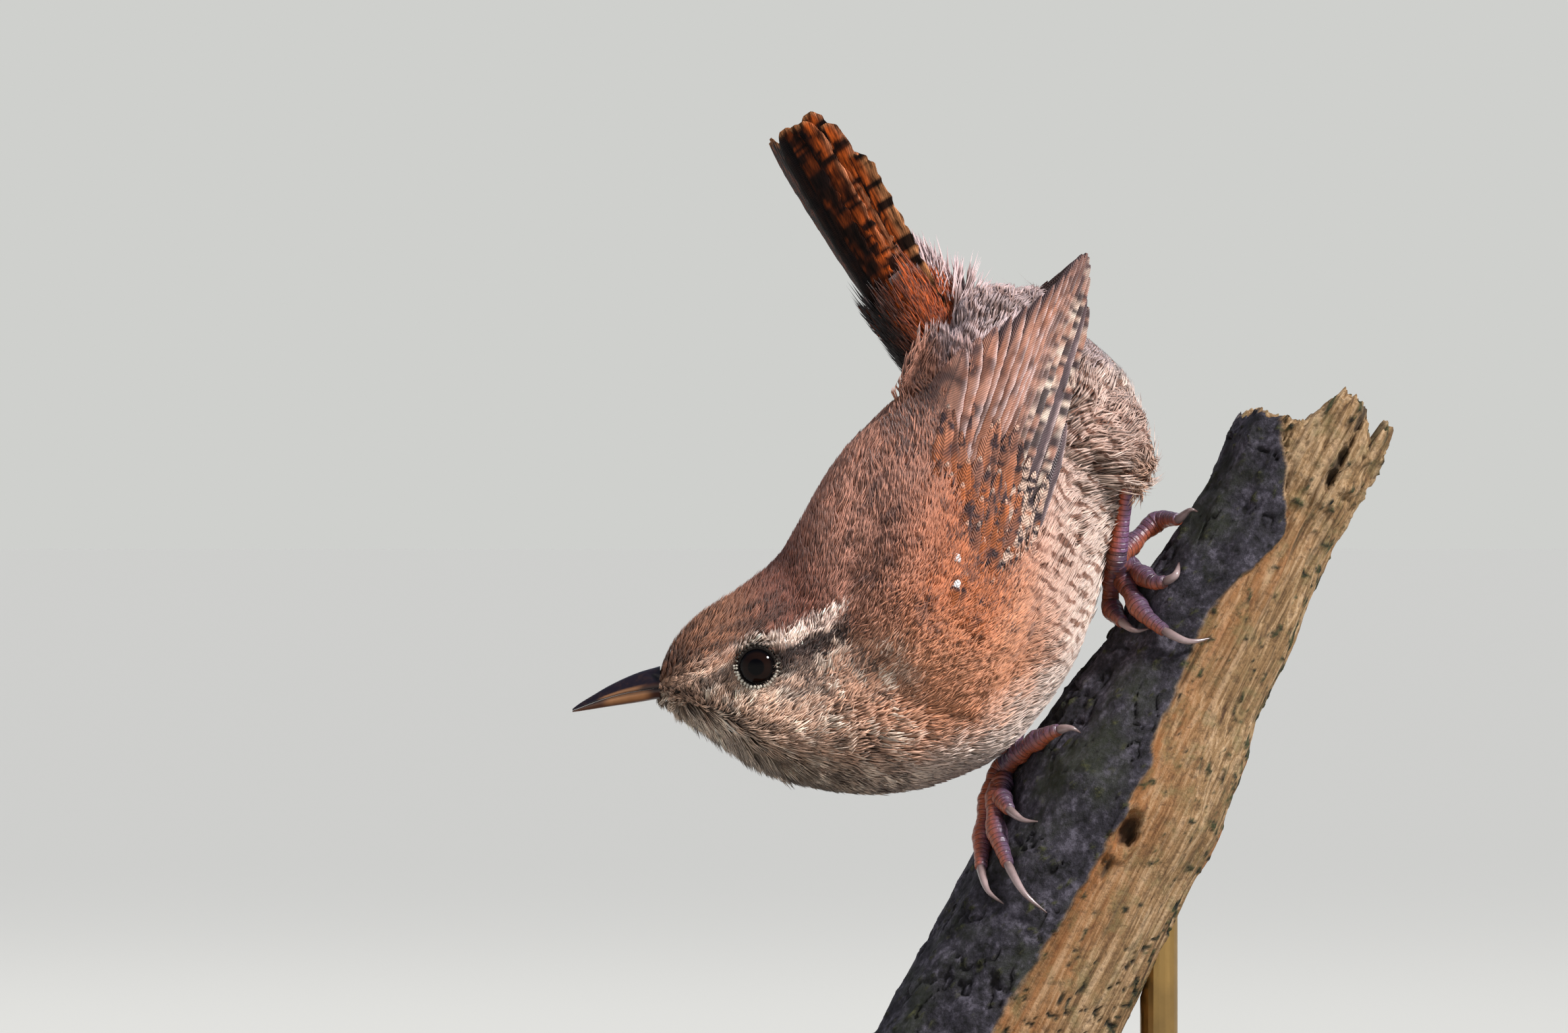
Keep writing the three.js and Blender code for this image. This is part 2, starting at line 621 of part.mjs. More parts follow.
// A slab that follows the folded wing's outline, from deep below its sheet to top above it.
function wingSlab(wing, outline, top, deep, margin) {
  const across = 4;
  const rings = outline.map(({ u, low, high }, i) => {
    const end = i === 0 ? -margin : i === outline.length - 1 ? margin : 0;
    const upper = [];
    const lower = [];
    for (let j = 0; j <= across; j++) {
      const v = lerp(low - margin, high + margin, j / across);
      const rim = (j % across === 0 ? 0.25 : 0) + Math.max(0, -u) * 0.3;
      upper.push(wingPlace(wing, u + end, v, top - rim));
      lower.push(wingPlace(wing, u + end, v, top - deep + rim));
    }
    return [...upper, ...lower.reverse()];
  });
  return loftSolid(rings);
}

// The flesh and inner vanes of the folded wing, and the room that the whole wing takes.
const wingCore = (wing) => wingSlab(wing, WING_OUTLINE.slice(0, -1), -0.3, 4.5, 0);
const wingRoom = (side) => wingSlab(WINGS[side], WING_OUTLINE, WING_ROOM + GAP, 9, WING_ROOM);

// Half space on one side of the torso's middle plane, kept off the plane by half the clearance.
function flankSpace(sign) {
  const block = new THREE.BoxGeometry(HALF_SPACE.side, HALF_SPACE.deep, HALF_SPACE.side);
  block.translate(0, -sign * (HALF_SPACE.deep + GAP) / 2, 0);
  const basis = new THREE.Matrix4().makeBasis(
    BACKWARD,
    sideways(rad(BODY_LEAN)).negate(),
    vec(0, 0, 0).crossVectors(BACKWARD, sideways(rad(BODY_LEAN)).negate()),
  );
  block.applyMatrix4(basis);
  block.translate(BODY_AXIS.x, 0, BODY_AXIS.z);
  return solidOf(block);
}

function buildWing(side) {
  const wing = WINGS[side];
  const place = (u, v, h) => wingPlace(wing, u, v, h);
  const pieces = [wingCore(wing)];
  for (const shape of [...flightFeathers(), ...coverts()]) {
    pieces.push(vane(place, shape));
  }
  const whole = joined(pieces).subtract(torsoClear).intersect(flankSpace(wing.sign));
  addNode(`wing_${side}`, whole, FINISH.wing);
}

// Tail: t runs from the root to the tip, a to the bird's left, h over the upper side.

const TAIL_RUN = vec(Math.cos(rad(TAIL.slope)), 0, Math.sin(rad(TAIL.slope)));
const TAIL_OVER = vec(-TAIL_RUN.z * Math.cos(rad(TAIL.roll)), -Math.sin(rad(TAIL.roll)),
  TAIL_RUN.x * Math.cos(rad(TAIL.roll)));
const TAIL_LEFT = vec(0, 0, 0).crossVectors(TAIL_OVER, TAIL_RUN).normalize();
if (TAIL_LEFT.y > 0) {
  TAIL_LEFT.negate();
}

function tailPlace(t, a, h) {
  const fall = Math.tan(rad(TAIL.tent)) * (Math.sqrt(a * a + 1) - 1);
  const sag = -TAIL.bow * t * t;
  return vec(TAIL.x, TAIL.y, TAIL.z)
    .addScaledVector(TAIL_RUN, t)
    .addScaledVector(TAIL_LEFT, a)
    .addScaledVector(TAIL_OVER, h + sag - fall);
}

function buildTail() {
  const pieces = [];
  for (const [side, tips, spread] of [[1, TAIL_TIPS.left, 1.0], [-1, TAIL_TIPS.right, 1.12]]) {
    tips.forEach((portion, i) => {
      pieces.push(vane(tailPlace, {
        from: [0, side * (0.5 + 0.45 * i)],
        to: [TAIL.length * portion, side * (0.9 + spread * i)],
        half: 2.1,
        bow: side * 0.45,
        lift: -0.27 * i,
        sink: 0,
        tilt: 0,
        tipStart: 0.9,
        along: [0, 0.45, 0.9, 0.96, 0.99],
      }));
    });
  }
  for (let i = 0; i < 5; i++) {
    const a = (i - 2) * 1.5;
    pieces.push(vane(tailPlace, { from: [0.2, a * 0.5], to: [9.5 - Math.abs(i - 2), a], half: 1.6,
      lift: 0.4 - 0.14 * Math.abs(i - 2), sink: 0.4, tilt: 0, along: [0, 0.5, 0.85, 0.97] }));
  }
  for (let i = 0; i < 5; i++) {
    const a = (i - 2) * 1.9;
    pieces.push(vane(tailPlace, { from: [0.5, a * 0.6], to: [15.5 - 1.4 * Math.abs(i - 2), a * 1.15], half: 1.8,
      lift: -2.4 - 0.5 * ((i + 1) % 2), sink: -0.9, tilt: 0, along: [0, 0.5, 0.85, 0.97], thickness: 0.9 }));
  }
  const core = [0, 4, 9].map((t) => {
    const ring = [];
    for (let j = 0; j < 12; j++) {
      const angle = (2 * Math.PI * j) / 12;
      ring.push(tailPlace(t, lerp(3.4, 4.2, t / 9) * Math.cos(angle), -1.2 + 1.4 * (1 - t / 16) * Math.sin(angle)));
    }
    return ring;
  });
  pieces.push(loftSolid(core));
  const tail = joined(pieces).subtract(torsoClear).subtract(wingRoom("left")).subtract(wingRoom("right"));
  addNode("tail", tail, FINISH.tail);
}

// Legs: feathered thigh, bare shank, and a foot of four toes that grips the branch.

const LEGS = {
  left: {
    thigh: [vec(9, -5.5, 88.5), vec(12.8, -6.8, 87.6), vec(15.0, -6.2, 85.6), vec(15.15, -5.4, 83.7)],
    girth: [6.0, 5.4, 4.2, 2.4, 1.4],
    joint: vec(13.9, -1.8, 75.3),
    toes: [
      { path: [[16.2, 76.6], [18.3, 78.3], [20.4, 78.5]], claw: [[21.6, 79.5], [22.4, 79.3]] },
      { path: [[15.9, 73.3], [17.6, 71.9], [18.9, 71.9]], claw: [[20.0, 72.6], [20.4, 73.9]] },
      { path: [[14.8, 71.6], [16.4, 68.8], [18.8, 66.7]], claw: [[21.2, 65.6], [23.6, 65.9]] },
      { path: [[13.4, 72.3], [13.3, 69.4], [14.4, 67.6]], claw: [[15.7, 66.7], [17.2, 66.9]] },
    ],
  },
  right: {
    thigh: [vec(1.5, 8.5, 77.0), vec(4.4, 11.2, 72.5), vec(6.0, 12.4, 69.0), vec(6.5, 12.6, 66.6)],
    girth: [6.2, 5.4, 4.2, 2.4, 1.4],
    joint: vec(2.5, 4.6, 53.4),
    toes: [
      { path: [[4.4, 54.6], [6.2, 55.6], [7.6, 56.2]], claw: [[8.9, 56.4], [9.9, 55.9]] },
      { path: [[1.9, 51.2], [1.6, 49.2], [2.4, 47.7]], claw: [[3.8, 46.7], [5.4, 46.5]] },
      { path: [[1.2, 50.6], [0.9, 46.4], [2.2, 42.0]], claw: [[3.9, 39.0], [6.3, 36.9]] },
      { path: [[0.5, 50.4], [-0.2, 46.2], [-0.6, 41.6]], claw: [[0.1, 39.2], [1.8, 37.8]] },
    ],
  },
};

function buildLeg(side) {
  const leg = LEGS[side];
  const ankle = leg.thigh[leg.thigh.length - 1];
  const down = leg.joint.clone().sub(ankle).normalize();
  const cuff = ankle.clone().addScaledVector(down, -1.3);
  const thigh = tube([...leg.thigh.slice(0, -1), cuff, ankle], leg.girth, { sides: 12, steps: 8 });
  addNode(`thigh_${side}`, thigh.subtract(torsoClear).subtract(wingRoom(side)), FINISH.breast);
  const top = ankle.clone().addScaledVector(down, GAP * 1.3);
  const end = leg.joint.clone().addScaledVector(down, -GAP);
  const shank = tube([top, top.clone().lerp(end, 0.5), end],
    [TARSUS_RADIUS, TARSUS_RADIUS * 0.85, TARSUS_RADIUS * 1.15], { sides: 10, steps: 5 });
  addNode(`shank_${side}`, shank.subtract(torsoClear), FINISH.leg);
  buildFoot(side, leg, down);
}

function buildFoot(side, leg, down) {
  const pieces = [tube([leg.joint, leg.joint.clone().addScaledVector(down, 1.4), leg.joint.clone()
    .addScaledVector(down, 2.4)], [1.0, 1.3, 0.8], { sides: 9, steps: 4 })];
  const root = leg.joint.clone().addScaledVector(down, 1.2);
  for (const toe of leg.toes) {
    const knuckles = toe.path.map(([x, z], i) => {
      const lifted = onPerch(x, z, TOE_RADIUS + GAP);
      return i === 0 ? lifted.lerp(root, 0.3) : lifted;
    });
    pieces.push(tube([root, ...knuckles], [1.05, 0.9, 0.95, 0.7], { sides: 7, steps: 6 }));
    const end = knuckles[knuckles.length - 1];
    const claw = toe.claw.map(([x, z], i) => onPerch(x, z, i === 0 ? 1.3 : 0.55));
    pieces.push(tube([knuckles[1].clone().lerp(end, 0.6), end, ...claw], [0.4, 0.6, 0.45, 0.14],
      { sides: 5, steps: 5 }));
  }
  addNode(`foot_${side}`, joined(pieces).subtract(perchSolid(GAP)).subtract(torsoClear), FINISH.leg);
}

buildStand();
buildPerch();
buildTrunk();
buildHead();
buildBill();
buildWing("left");
buildWing("right");
buildTail();
buildLeg("left");
buildLeg("right");

export default model;
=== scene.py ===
"""Looks of the wren on its broken branch, laid out as a Blender add-on and run as a script.

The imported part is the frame. Each operator makes one group of pieces over it: the skin, the body
feathers, the wings, the tail, the eyes, the bill, the legs, the branch, the stand's finish and the
stage. Formulas work in millimetres in the part's own frame; every mesh is made in metres.
"""

import bpy
import numpy as np
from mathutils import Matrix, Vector


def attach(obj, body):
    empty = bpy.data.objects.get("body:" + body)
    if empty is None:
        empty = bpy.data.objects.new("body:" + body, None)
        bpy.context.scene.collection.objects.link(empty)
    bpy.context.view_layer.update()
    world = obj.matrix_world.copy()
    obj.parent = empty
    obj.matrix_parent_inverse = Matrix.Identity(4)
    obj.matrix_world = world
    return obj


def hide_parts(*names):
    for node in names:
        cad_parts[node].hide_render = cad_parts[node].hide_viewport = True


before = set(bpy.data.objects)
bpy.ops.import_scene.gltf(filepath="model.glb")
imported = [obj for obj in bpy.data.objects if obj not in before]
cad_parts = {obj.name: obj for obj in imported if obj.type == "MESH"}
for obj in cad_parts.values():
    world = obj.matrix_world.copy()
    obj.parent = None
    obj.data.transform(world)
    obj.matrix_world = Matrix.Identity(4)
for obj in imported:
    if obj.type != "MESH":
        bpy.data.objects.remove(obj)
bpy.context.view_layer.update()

bl_info = {
    "name": "Wren on a branch",
    "version": (1, 0, 0),
    "blender": (4, 5, 0),
    "location": "3D View > Sidebar > Wren",
    "description": "Feathers, horn, bark and stage for a life-size wren on a short perch",
    "category": "Mesh",
}

MM = 0.001


def srgb(text):
    """Linear red, green and blue of a six-digit screen colour."""
    code = np.array([int(text[i:i + 2], 16) for i in (0, 2, 4)]) / 255
    return tuple(np.where(code <= 0.04045, code / 12.92, ((code + 0.055) / 1.055) ** 2.4))


def unit(vectors):
    """Vectors divided by their own length."""
    return vectors / np.maximum(np.linalg.norm(vectors, axis=-1, keepdims=True), 1e-12)


def smooth(low, high, value):
    """Soft step: 3t²-2t³ of the value's share between low and high."""
    t = np.clip((value - low) / (high - low), 0, 1)
    return t * t * (3 - 2 * t)


def blend(first, second, weight):
    """Mix of two values or colours, where the weight may be one number for each row."""
    weight = np.asarray(weight)
    if np.ndim(first) and np.ndim(first) != weight.ndim or np.shape(second)[-1:] == (3,):
        weight = weight[..., None]
    return first * (1 - weight) + second * weight


def lattice_noise(places, seed=0):
    """Smooth noise from -1 to 1: random values on a unit lattice, blended by 3t²-2t³ along each axis."""
    cell = np.floor(places).astype(np.int64)
    share = places - cell
    share = share * share * (3 - 2 * share)
    total = np.zeros(places.shape[:-1])
    for corner in np.ndindex(2, 2, 2):
        x, y, z = np.moveaxis(cell + np.array(corner), -1, 0)
        mixed = (x * 73856093) ^ (y * 19349663) ^ (z * 83492791) ^ (seed * 2654435761 + 97)
        mixed = ((mixed ^ (mixed >> 13)) * 1274126177) & 0xFFFFFFFF
        value = ((mixed ^ (mixed >> 16)) & 0xFFFF) / 32767.5 - 1
        total += value * np.prod(np.where(np.array(corner), share, 1 - share), axis=-1)
    return total


def noise(seed, x, y=0.0, z=0.0):
    """Lattice noise at places given coordinate by coordinate."""
    return lattice_noise(np.stack(np.broadcast_arrays(x, y, z), -1), seed)


def layered_noise(places, octaves=4, seed=0):
    """Sum of noise layers, each twice as fine and half as strong as the one before."""
    return sum(lattice_noise(places * 2 ** k, seed + 31 * k) / 2 ** k for k in range(octaves)) / 1.7


# Shape of the body, repeated from the part's source


# Upper outline (x, z), lower outline (x, z), half width, pinch of the upper half, roll in degrees.
STATIONS = np.array([
    (-34.5, 63.0, -35.1, 59.4, 1.7, 0.0, 4),
    (-33.0, 65.9, -32.3, 57.4, 3.9, 0.05, 4),
    (-30.5, 68.5, -28.4, 55.0, 6.0, 0.1, 5),
    (-26.3, 71.2, -23.2, 51.6, 7.9, 0.12, 7),
    (-22.3, 74.3, -17.2, 49.8, 9.6, 0.1, 10),
    (-19.7, 77.9, -10.9, 49.5, 11.6, 0.06, 14),
    (-17.2, 82.0, -4.7, 50.9, 13.2, 0.03, 17),
    (-14.1, 86.2, 0.9, 53.7, 14.2, 0, 18),
    (-10.2, 89.9, 5.8, 59.0, 14.2, 0, 18),
    (-6.9, 92.3, 9.6, 65.7, 13.2, 0, 18),
    (-5.0, 96.6, 13.2, 78.0, 11.4, 0, 18),
    (-1.9, 100.8, 15.4, 85.6, 8.8, 0, 18),
    (1.4, 102.4, 13.0, 94.4, 5.4, 0, 18),
    (4.4, 102.3, 9.4, 98.6, 2.4, 0, 18),
])
LAST = len(STATIONS) - 1
BODY_SLOPE = np.radians(53)
BODY_LEAN = np.radians(18)
BODY_AXIS = np.array([-2.2, 0, 74.5])
HEAD_Y = -1.6
HEAD_END, NECK_END = 4.4, 6.0
UPWARD = np.array([-np.sin(BODY_SLOPE), 0, np.cos(BODY_SLOPE)])
BODY_WAY = np.array([np.cos(BODY_SLOPE), 0, np.sin(BODY_SLOPE)])
BAR_PITCH = 1.45


def cubic(table, at):
    """Smooth curve through a table's rows: the cubic that passes each with its neighbours' mean slope."""
    last = len(table) - 1
    at = np.clip(at, 0, last - 1e-9)
    i = np.floor(at).astype(int)
    t = (at - i)[..., None]
    a, b, c, d = (table[np.clip(i + k, 0, last)] for k in (-1, 0, 1, 2))
    square, cube = 2 * a - 5 * b + 4 * c - d, 3 * b - a - 3 * c + d
    return 0.5 * (2 * b + (c - a) * t + square * t ** 2 + cube * t ** 3)


def station_values(s):
    """Every measure of the body's section at station s."""
    return cubic(STATIONS, s)


def in_plane(x, z):
    """Points (x, 0, z)."""
    return np.stack([x, np.zeros_like(x), z], axis=-1)


def sideways(lean):
    """Unit vector to the bird's left for a roll of the section."""
    lean = np.asarray(lean)[..., None]
    return np.cos(lean) * np.array([0, -1.0, 0]) - np.sin(lean) * UPWARD


def ring_point(s, angle, extra=0.0):
    """Oval section at station s: middle + rise * sin(angle) + left * half width * cos(angle),
    narrowed above by the pinch and swollen by extra."""
    v = station_values(s)
    top, under = in_plane(v[..., 0], v[..., 1]), in_plane(v[..., 2], v[..., 3])
    middle = (top + under) / 2
    lean = np.radians(v[..., 6])
    settled = np.clip((s - HEAD_END) / (NECK_END - HEAD_END), 0, 1)
    drift = (middle - BODY_AXIS) @ UPWARD
    middle[..., 1] = HEAD_Y * (1 - settled) - np.tan(BODY_LEAN) * drift * settled
    rise = (top - under) / 2
    rise[..., 1] = -np.tan(lean) * (rise @ UPWARD)
    tall = np.linalg.norm(rise, axis=-1)
    wide = (v[..., 4] + extra) * np.cos(angle) * (1 - v[..., 5] * np.sin(angle))
    high = np.sin(angle) * (tall + extra) / tall
    return middle + rise * high[..., None] + sideways(lean) * wide[..., None]


def body_point(s, angle, extra=0.0):
    """The oval sections, continued straight on past both ends of the body."""
    held = np.clip(s, 0.02, LAST - 0.1)
    here = ring_point(held, angle, extra)
    ahead = ring_point(held + 0.02, angle, extra)
    return here + (ahead - here) / 0.02 * (s - held)[..., None]


def half_width(x, z, extra=0.0):
    """Distance of the body's side from its middle plane at places (x, z): the station whose chord
    passes the place is found by halving, then the oval's width there is taken."""
    low, high = np.zeros_like(x), np.full_like(x, LAST)

    def beside(s):
        v = station_values(s)
        return (v[..., 0] - v[..., 2]) * (z - v[..., 3]) - (v[..., 1] - v[..., 3]) * (x - v[..., 2])

    start = beside(low)
    outside = start * beside(high) > 0
    for _ in range(22):
        mid = (low + high) / 2
        past = start * beside(mid) <= 0
        low, high = np.where(past, low, mid), np.where(past, mid, high)
    v = station_values(low)
    chord = v[..., :2] - v[..., 2:4]
    tall = np.linalg.norm(chord, axis=-1) / 2
    above = ((x - v[..., 2]) * chord[..., 0] + (z - v[..., 3]) * chord[..., 1]) / (2 * tall) - tall
    sine = np.clip(above / (tall + extra), -1, 1)
    width = (v[..., 4] + extra) * np.sqrt(1 - sine ** 2) * (1 - v[..., 5] * sine)
    return np.where(outside, 0, width)


def torso_place(x, z, side):
    """A place of the torso's rolled middle plane, moved to the left by side."""
    flat = in_plane(x, z)
    drift = (flat - BODY_AXIS) @ UPWARD
    flat[..., 1] = -np.tan(BODY_LEAN) * drift
    return flat + sideways(BODY_LEAN) * np.asarray(side)[..., None]


# Meshes


def add_mesh(name, points, faces, material, colours=None, maps=None, even=True):
    """Object from points in millimetres and arrays of faces, with point colours named tint and one
    UV value for each point in every named map."""
    mesh = bpy.data.meshes.new(name)
    faces = [np.asarray(f) for f in (faces if isinstance(faces, list) else [faces])]
    corners = np.concatenate([f.ravel() for f in faces]).astype(np.int32)
    sizes = np.concatenate([np.full(len(f), f.shape[1]) for f in faces])
    starts = np.concatenate([[0], np.cumsum(sizes)[:-1]]).astype(np.int32)
    mesh.vertices.add(len(points))
    mesh.vertices.foreach_set("co", (np.asarray(points) * MM).astype(np.float32).ravel())
    mesh.loops.add(len(corners))
    mesh.loops.foreach_set("vertex_index", corners)
    mesh.polygons.add(len(sizes))
    mesh.polygons.foreach_set("loop_start", starts)
    mesh.polygons.foreach_set("use_smooth", np.full(len(sizes), even))
    mesh.update(calc_edges=True)
    for label, values in (maps or {}).items():
        layer = mesh.uv_layers.new(name=label)
        layer.data.foreach_set("uv", np.asarray(values, np.float32)[corners].ravel())
    if colours is not None:
        layer = mesh.color_attributes.new("tint", "FLOAT_COLOR", "POINT")
        rgba = np.ones((len(points), 4), np.float32)
        rgba[:, :colours.shape[1]] = colours
        layer.data.foreach_set("color", rgba.ravel())
    if mesh.validate():
        raise RuntimeError(f"{name} had broken faces")
    mesh.materials.append(material)
    piece = bpy.data.objects.new(name, mesh)
    bpy.context.scene.collection.objects.link(piece)
    return piece


def add_piece(name, slot, shape, tint, finish, *nodes, maps=None):
    """A mesh from points and faces that rides on the part and stands for CAD nodes, which it hides; the slot
    is not used.
    """
    piece = add_mesh(name, *shape, finish, tint, maps)
    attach(piece, "root")
    if nodes:
        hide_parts(*nodes)


def turns(count):
    """Even angles round a full turn."""
    return np.arange(count) * 2 * np.pi / count


def ring_grid(low, high, rows, columns):
    """Shares along, from low to high, and angles round for every point of a tube's rings."""
    return np.linspace(low, high, rows)[:, None] * np.ones(columns), turns(columns) * np.ones((rows, 1))


def ring_faces(rows, columns):
    """Four-cornered faces between rings, then the three-cornered ones to a point at either end."""
    r, c = (grid.ravel() for grid in np.meshgrid(np.arange(rows - 1), np.arange(columns), indexing="ij"))
    d = (c + 1) % columns
    sides = np.stack([r * columns + c, r * columns + d, (r + 1) * columns + d, (r + 1) * columns + c], 1)
    c, d, base = c[:columns], d[:columns], (rows - 1) * columns
    first = np.stack([np.full(columns, rows * columns), d, c], 1)
    last = np.stack([np.full(columns, rows * columns + 1), base + c, base + d], 1)
    return sides, first, last


def closed(rings):
    """Points and outward faces of a tube of rings, closed by one middle point at each end."""
    rings = np.ascontiguousarray(rings)
    points = np.concatenate([rings.reshape(-1, 3), rings[[0, -1]].mean(axis=1)])
    return points, outward(points, ring_faces(*rings.shape[:2]))


def outward(points, faces):
    """Faces turned round where the surface they close has a negative volume."""
    volume = 0
    for f in faces:
        a, b, c = points[f[:, 0]], points[f[:, 1]], points[f[:, 2]]
        volume += np.einsum("ij,ij->", a, np.cross(b, c))
        if f.shape[1] == 4:
            volume += np.einsum("ij,ij->", a, np.cross(c, points[f[:, 3]]))
    return list(faces) if volume > 0 else [f[:, ::-1] for f in faces]


def path_points(knots, count):
    """Evenly spaced points on the smooth curve through a few knots, by cubic blends of neighbours."""
    knots = np.asarray(knots, float)
    fine = cubic(knots, np.linspace(0, len(knots) - 1, count * 4))
    run = np.concatenate([[0], np.cumsum(np.linalg.norm(np.diff(fine, axis=0), axis=1))])
    want = np.linspace(0, run[-1], count)
    return np.stack([np.interp(want, run, fine[:, k]) for k in range(3)], 1)


def path_frame(line):
    """Unit vectors ahead, to the side and above along a path that is seen from the front."""
    ahead = unit(np.gradient(line, axis=0))
    side = unit(np.cross(ahead, [0, -1.0, 0]))
    return ahead, side, np.cross(side, ahead)


def spread(values, count):
    """A short list of values, drawn out evenly to a count."""
    return np.interp(np.linspace(0, 1, count), np.linspace(0, 1, len(values)), values)


def tube(knots, radii, rows, columns, ripple=None):
    """A round profile carried along a smooth path. Its radius follows the given list, times an
    optional ripple of the share along and the angle round."""
    line = path_points(knots, rows)
    _, side, rise = path_frame(line)
    t = np.linspace(0, 1, rows)
    angle = turns(columns)
    reach = spread(radii, rows)[:, None] * np.ones(columns)
    if ripple is not None:
        reach = reach * ripple(t[:, None], angle[None, :])
    rings = line[:, None] + side[:, None] * (reach * np.cos(angle))[..., None]
    points, faces = closed(rings + rise[:, None] * (reach * np.sin(angle))[..., None])
    around = np.tile(angle / (2 * np.pi), rows)
    along = np.repeat(t, columns) * np.linalg.norm(np.diff(line, axis=0), axis=1).sum()
    chart = np.concatenate([np.stack([around, along], 1), [[0.5, 0], [0.5, along[-1]]]])
    return points, faces, chart


def gathered(parts):
    """Joins several (points, faces, extra arrays...) into one."""
    points, faces, shift = [], [], 0
    for part in parts:
        points.append(part[0])
        faces.extend(f + shift for f in part[1])
        shift += len(part[0])
    extras = [np.concatenate([part[k] for part in parts]) for k in range(2, len(parts[0]))]
    by_size = [np.concatenate([f for f in faces if f.shape[1] == k]) for k in (3, 4)
               if any(f.shape[1] == k for f in faces)]
    return [np.concatenate(points), by_size, *extras]


# Feather tufts: fans of closed, tapering locks laid on a surface


# Width of a tuft's patch in the bake's map.
PATCH_SIZE = 0.003
# Steps of the additive sequence that scatters the roots, from the plastic number, and each one's
# shift from seed to seed.
SCATTER_STEPS = ((0.7548776662, 0.137), (0.5698402910, 0.211))


def tuft_frames(surface, roots, turn, around, toward):
    """Steps in the surface's two parameters for one millimetre along the lie and one across it.
    The lie follows the first parameter or given directions, turned by an angle, and parts round
    given points."""
    u, v = roots.T
    e = 1e-3
    here = surface(u, v, np.zeros_like(u))
    by_u = (surface(u + e, v, np.zeros_like(u)) - here) / e
    by_v = (surface(u, v + e, np.zeros_like(u)) - here) / e
    normal = unit(np.cross(by_u, by_v))

    def flat(way):
        """The part of a direction that lies in the surface."""
        return way - normal * np.sum(way * normal, axis=1, keepdims=True)

    first = unit(by_u if toward is None else flat(toward))
    second = np.cross(normal, first)
    turn = np.asarray(turn) * np.ones(len(u))
    lie = first * np.cos(turn)[:, None] + second * np.sin(turn)[:, None]
    for centre, radius in around:
        gap = flat(here - centre)
        ray = unit(gap)
        pull = np.minimum(radius / np.linalg.norm(gap, axis=1, keepdims=True), 1.0) ** 2
        lie = unit(flat(lie - pull * (2 * np.sum(lie * ray, axis=1, keepdims=True) * ray - lie)))
    across = np.cross(normal, lie)
    uu, uv, vv = (np.sum(a * b, axis=1) for a, b in ((by_u, by_u), (by_u, by_v), (by_v, by_v)))
    det = uu * vv - uv ** 2

    def solved(direction):
        a, b = np.sum(by_u * direction, axis=1), np.sum(by_v * direction, axis=1)
        return np.stack([(a * vv - b * uv) / det, (b * uu - a * uv) / det], 1)

    return solved(lie), solved(across)


def tufts(surface, roots, steps, shape, rng):
    """Each tuft is a fan of locks. A lock is a closed three-sided taper: rings of a left, a right
    and a ridge point, ending in one tip. Lock q of -1 to 1 starts near the root, spreads to its
    share of the width and ends earlier the further it is from the middle."""
    locks, rings = shape["locks"], shape["rings"]
    count = len(roots)
    q = np.linspace(-1, 1, locks)[None, :, None] * np.ones((count, 1, 1))
    q = q + rng.normal(0, 0.25 / locks, q.shape)
    t = np.array(rings)[None, None, :]
    length = shape["length"][:, None, None] * (1 - 0.28 * q ** 2)
    length = length * (1 + rng.normal(0, shape["ragged"], (count, locks, 1)))
    width = shape["width"][:, None, None] / 2
    fan = np.minimum(1, 0.3 + 1.5 * t) * (1 - 0.22 * t ** 3)
    middle = q * width * fan + shape["bow"][:, None, None] * t ** 2
    along = length * t
    thick = width / locks * 1.4 * (1 - 0.35 * t) * (t < 1)
    base, tip = shape["base"][:, None, None], shape["tip"][:, None, None]
    loose = rng.normal(0, shape["loose"], (count, locks, 1)) * t
    height = base + (tip - base) * t ** shape.get("rise", 0.6) - 0.12 * q ** 2 * width + loose
    across = np.stack([middle - thick, middle + thick, middle], -1)
    lift = np.stack([height, height, height + thick * 0.9], -1)
    reach = np.broadcast_to(along[..., None], across.shape)
    lie, side = steps
    lie, side = lie[:, None, None, None, :], side[:, None, None, None, :]
    place = roots[:, None, None, None, :] + reach[..., None] * lie + across[..., None] * side
    points = surface(place[..., 0], place[..., 1], lift)
    keep = np.ones(3 * len(rings), bool)
    keep[-3:-1] = False
    size = int(keep.sum())

    def flatten(values, *tail):
        """Values of every lock's points as one list, with each tip's three points made one."""
        values = np.broadcast_to(values, (*across.shape, *tail))
        return values.reshape(count * locks, 3 * len(rings), *tail)[:, keep].reshape(-1, *tail)

    facts = {
        "share": flatten(t[..., None]),
        "fan": flatten(q[..., None]),
        "tuft": flatten(np.arange(count)[:, None, None, None]),
        "lock": flatten(rng.normal(0, 1, (count, locks, 1, 1))),
        "chart": np.stack([flatten(np.arange(locks)[:, None, None] + [0.0, 1.0, 0.5]), flatten(reach)], 1),
    }
    r = np.arange(len(rings) - 2) * 3
    pairs = ((0, 1), (1, 2), (2, 0))
    quads = np.concatenate([np.stack([r + a, r + b, r + b + 3, r + a + 3], 1) for a, b in pairs])
    triangles = np.array([*([size - 4 + a, size - 4 + b, size - 1] for a, b in pairs), [0, 2, 1]])
    shift = (np.arange(count * locks) * size)[:, None, None]
    faces = [(corners + shift).reshape(-1, corners.shape[1]) for corners in (triangles, quads)]
    return flatten(points, 3), faces, facts


def patch_map(facts, roots_chart):
    """Each tuft as a small patch at its root's place on the surface's unwrap."""
    return roots_chart[facts["tuft"]] + np.stack([facts["fan"] * 0.5, facts["share"] - 0.5], 1) * PATCH_SIZE


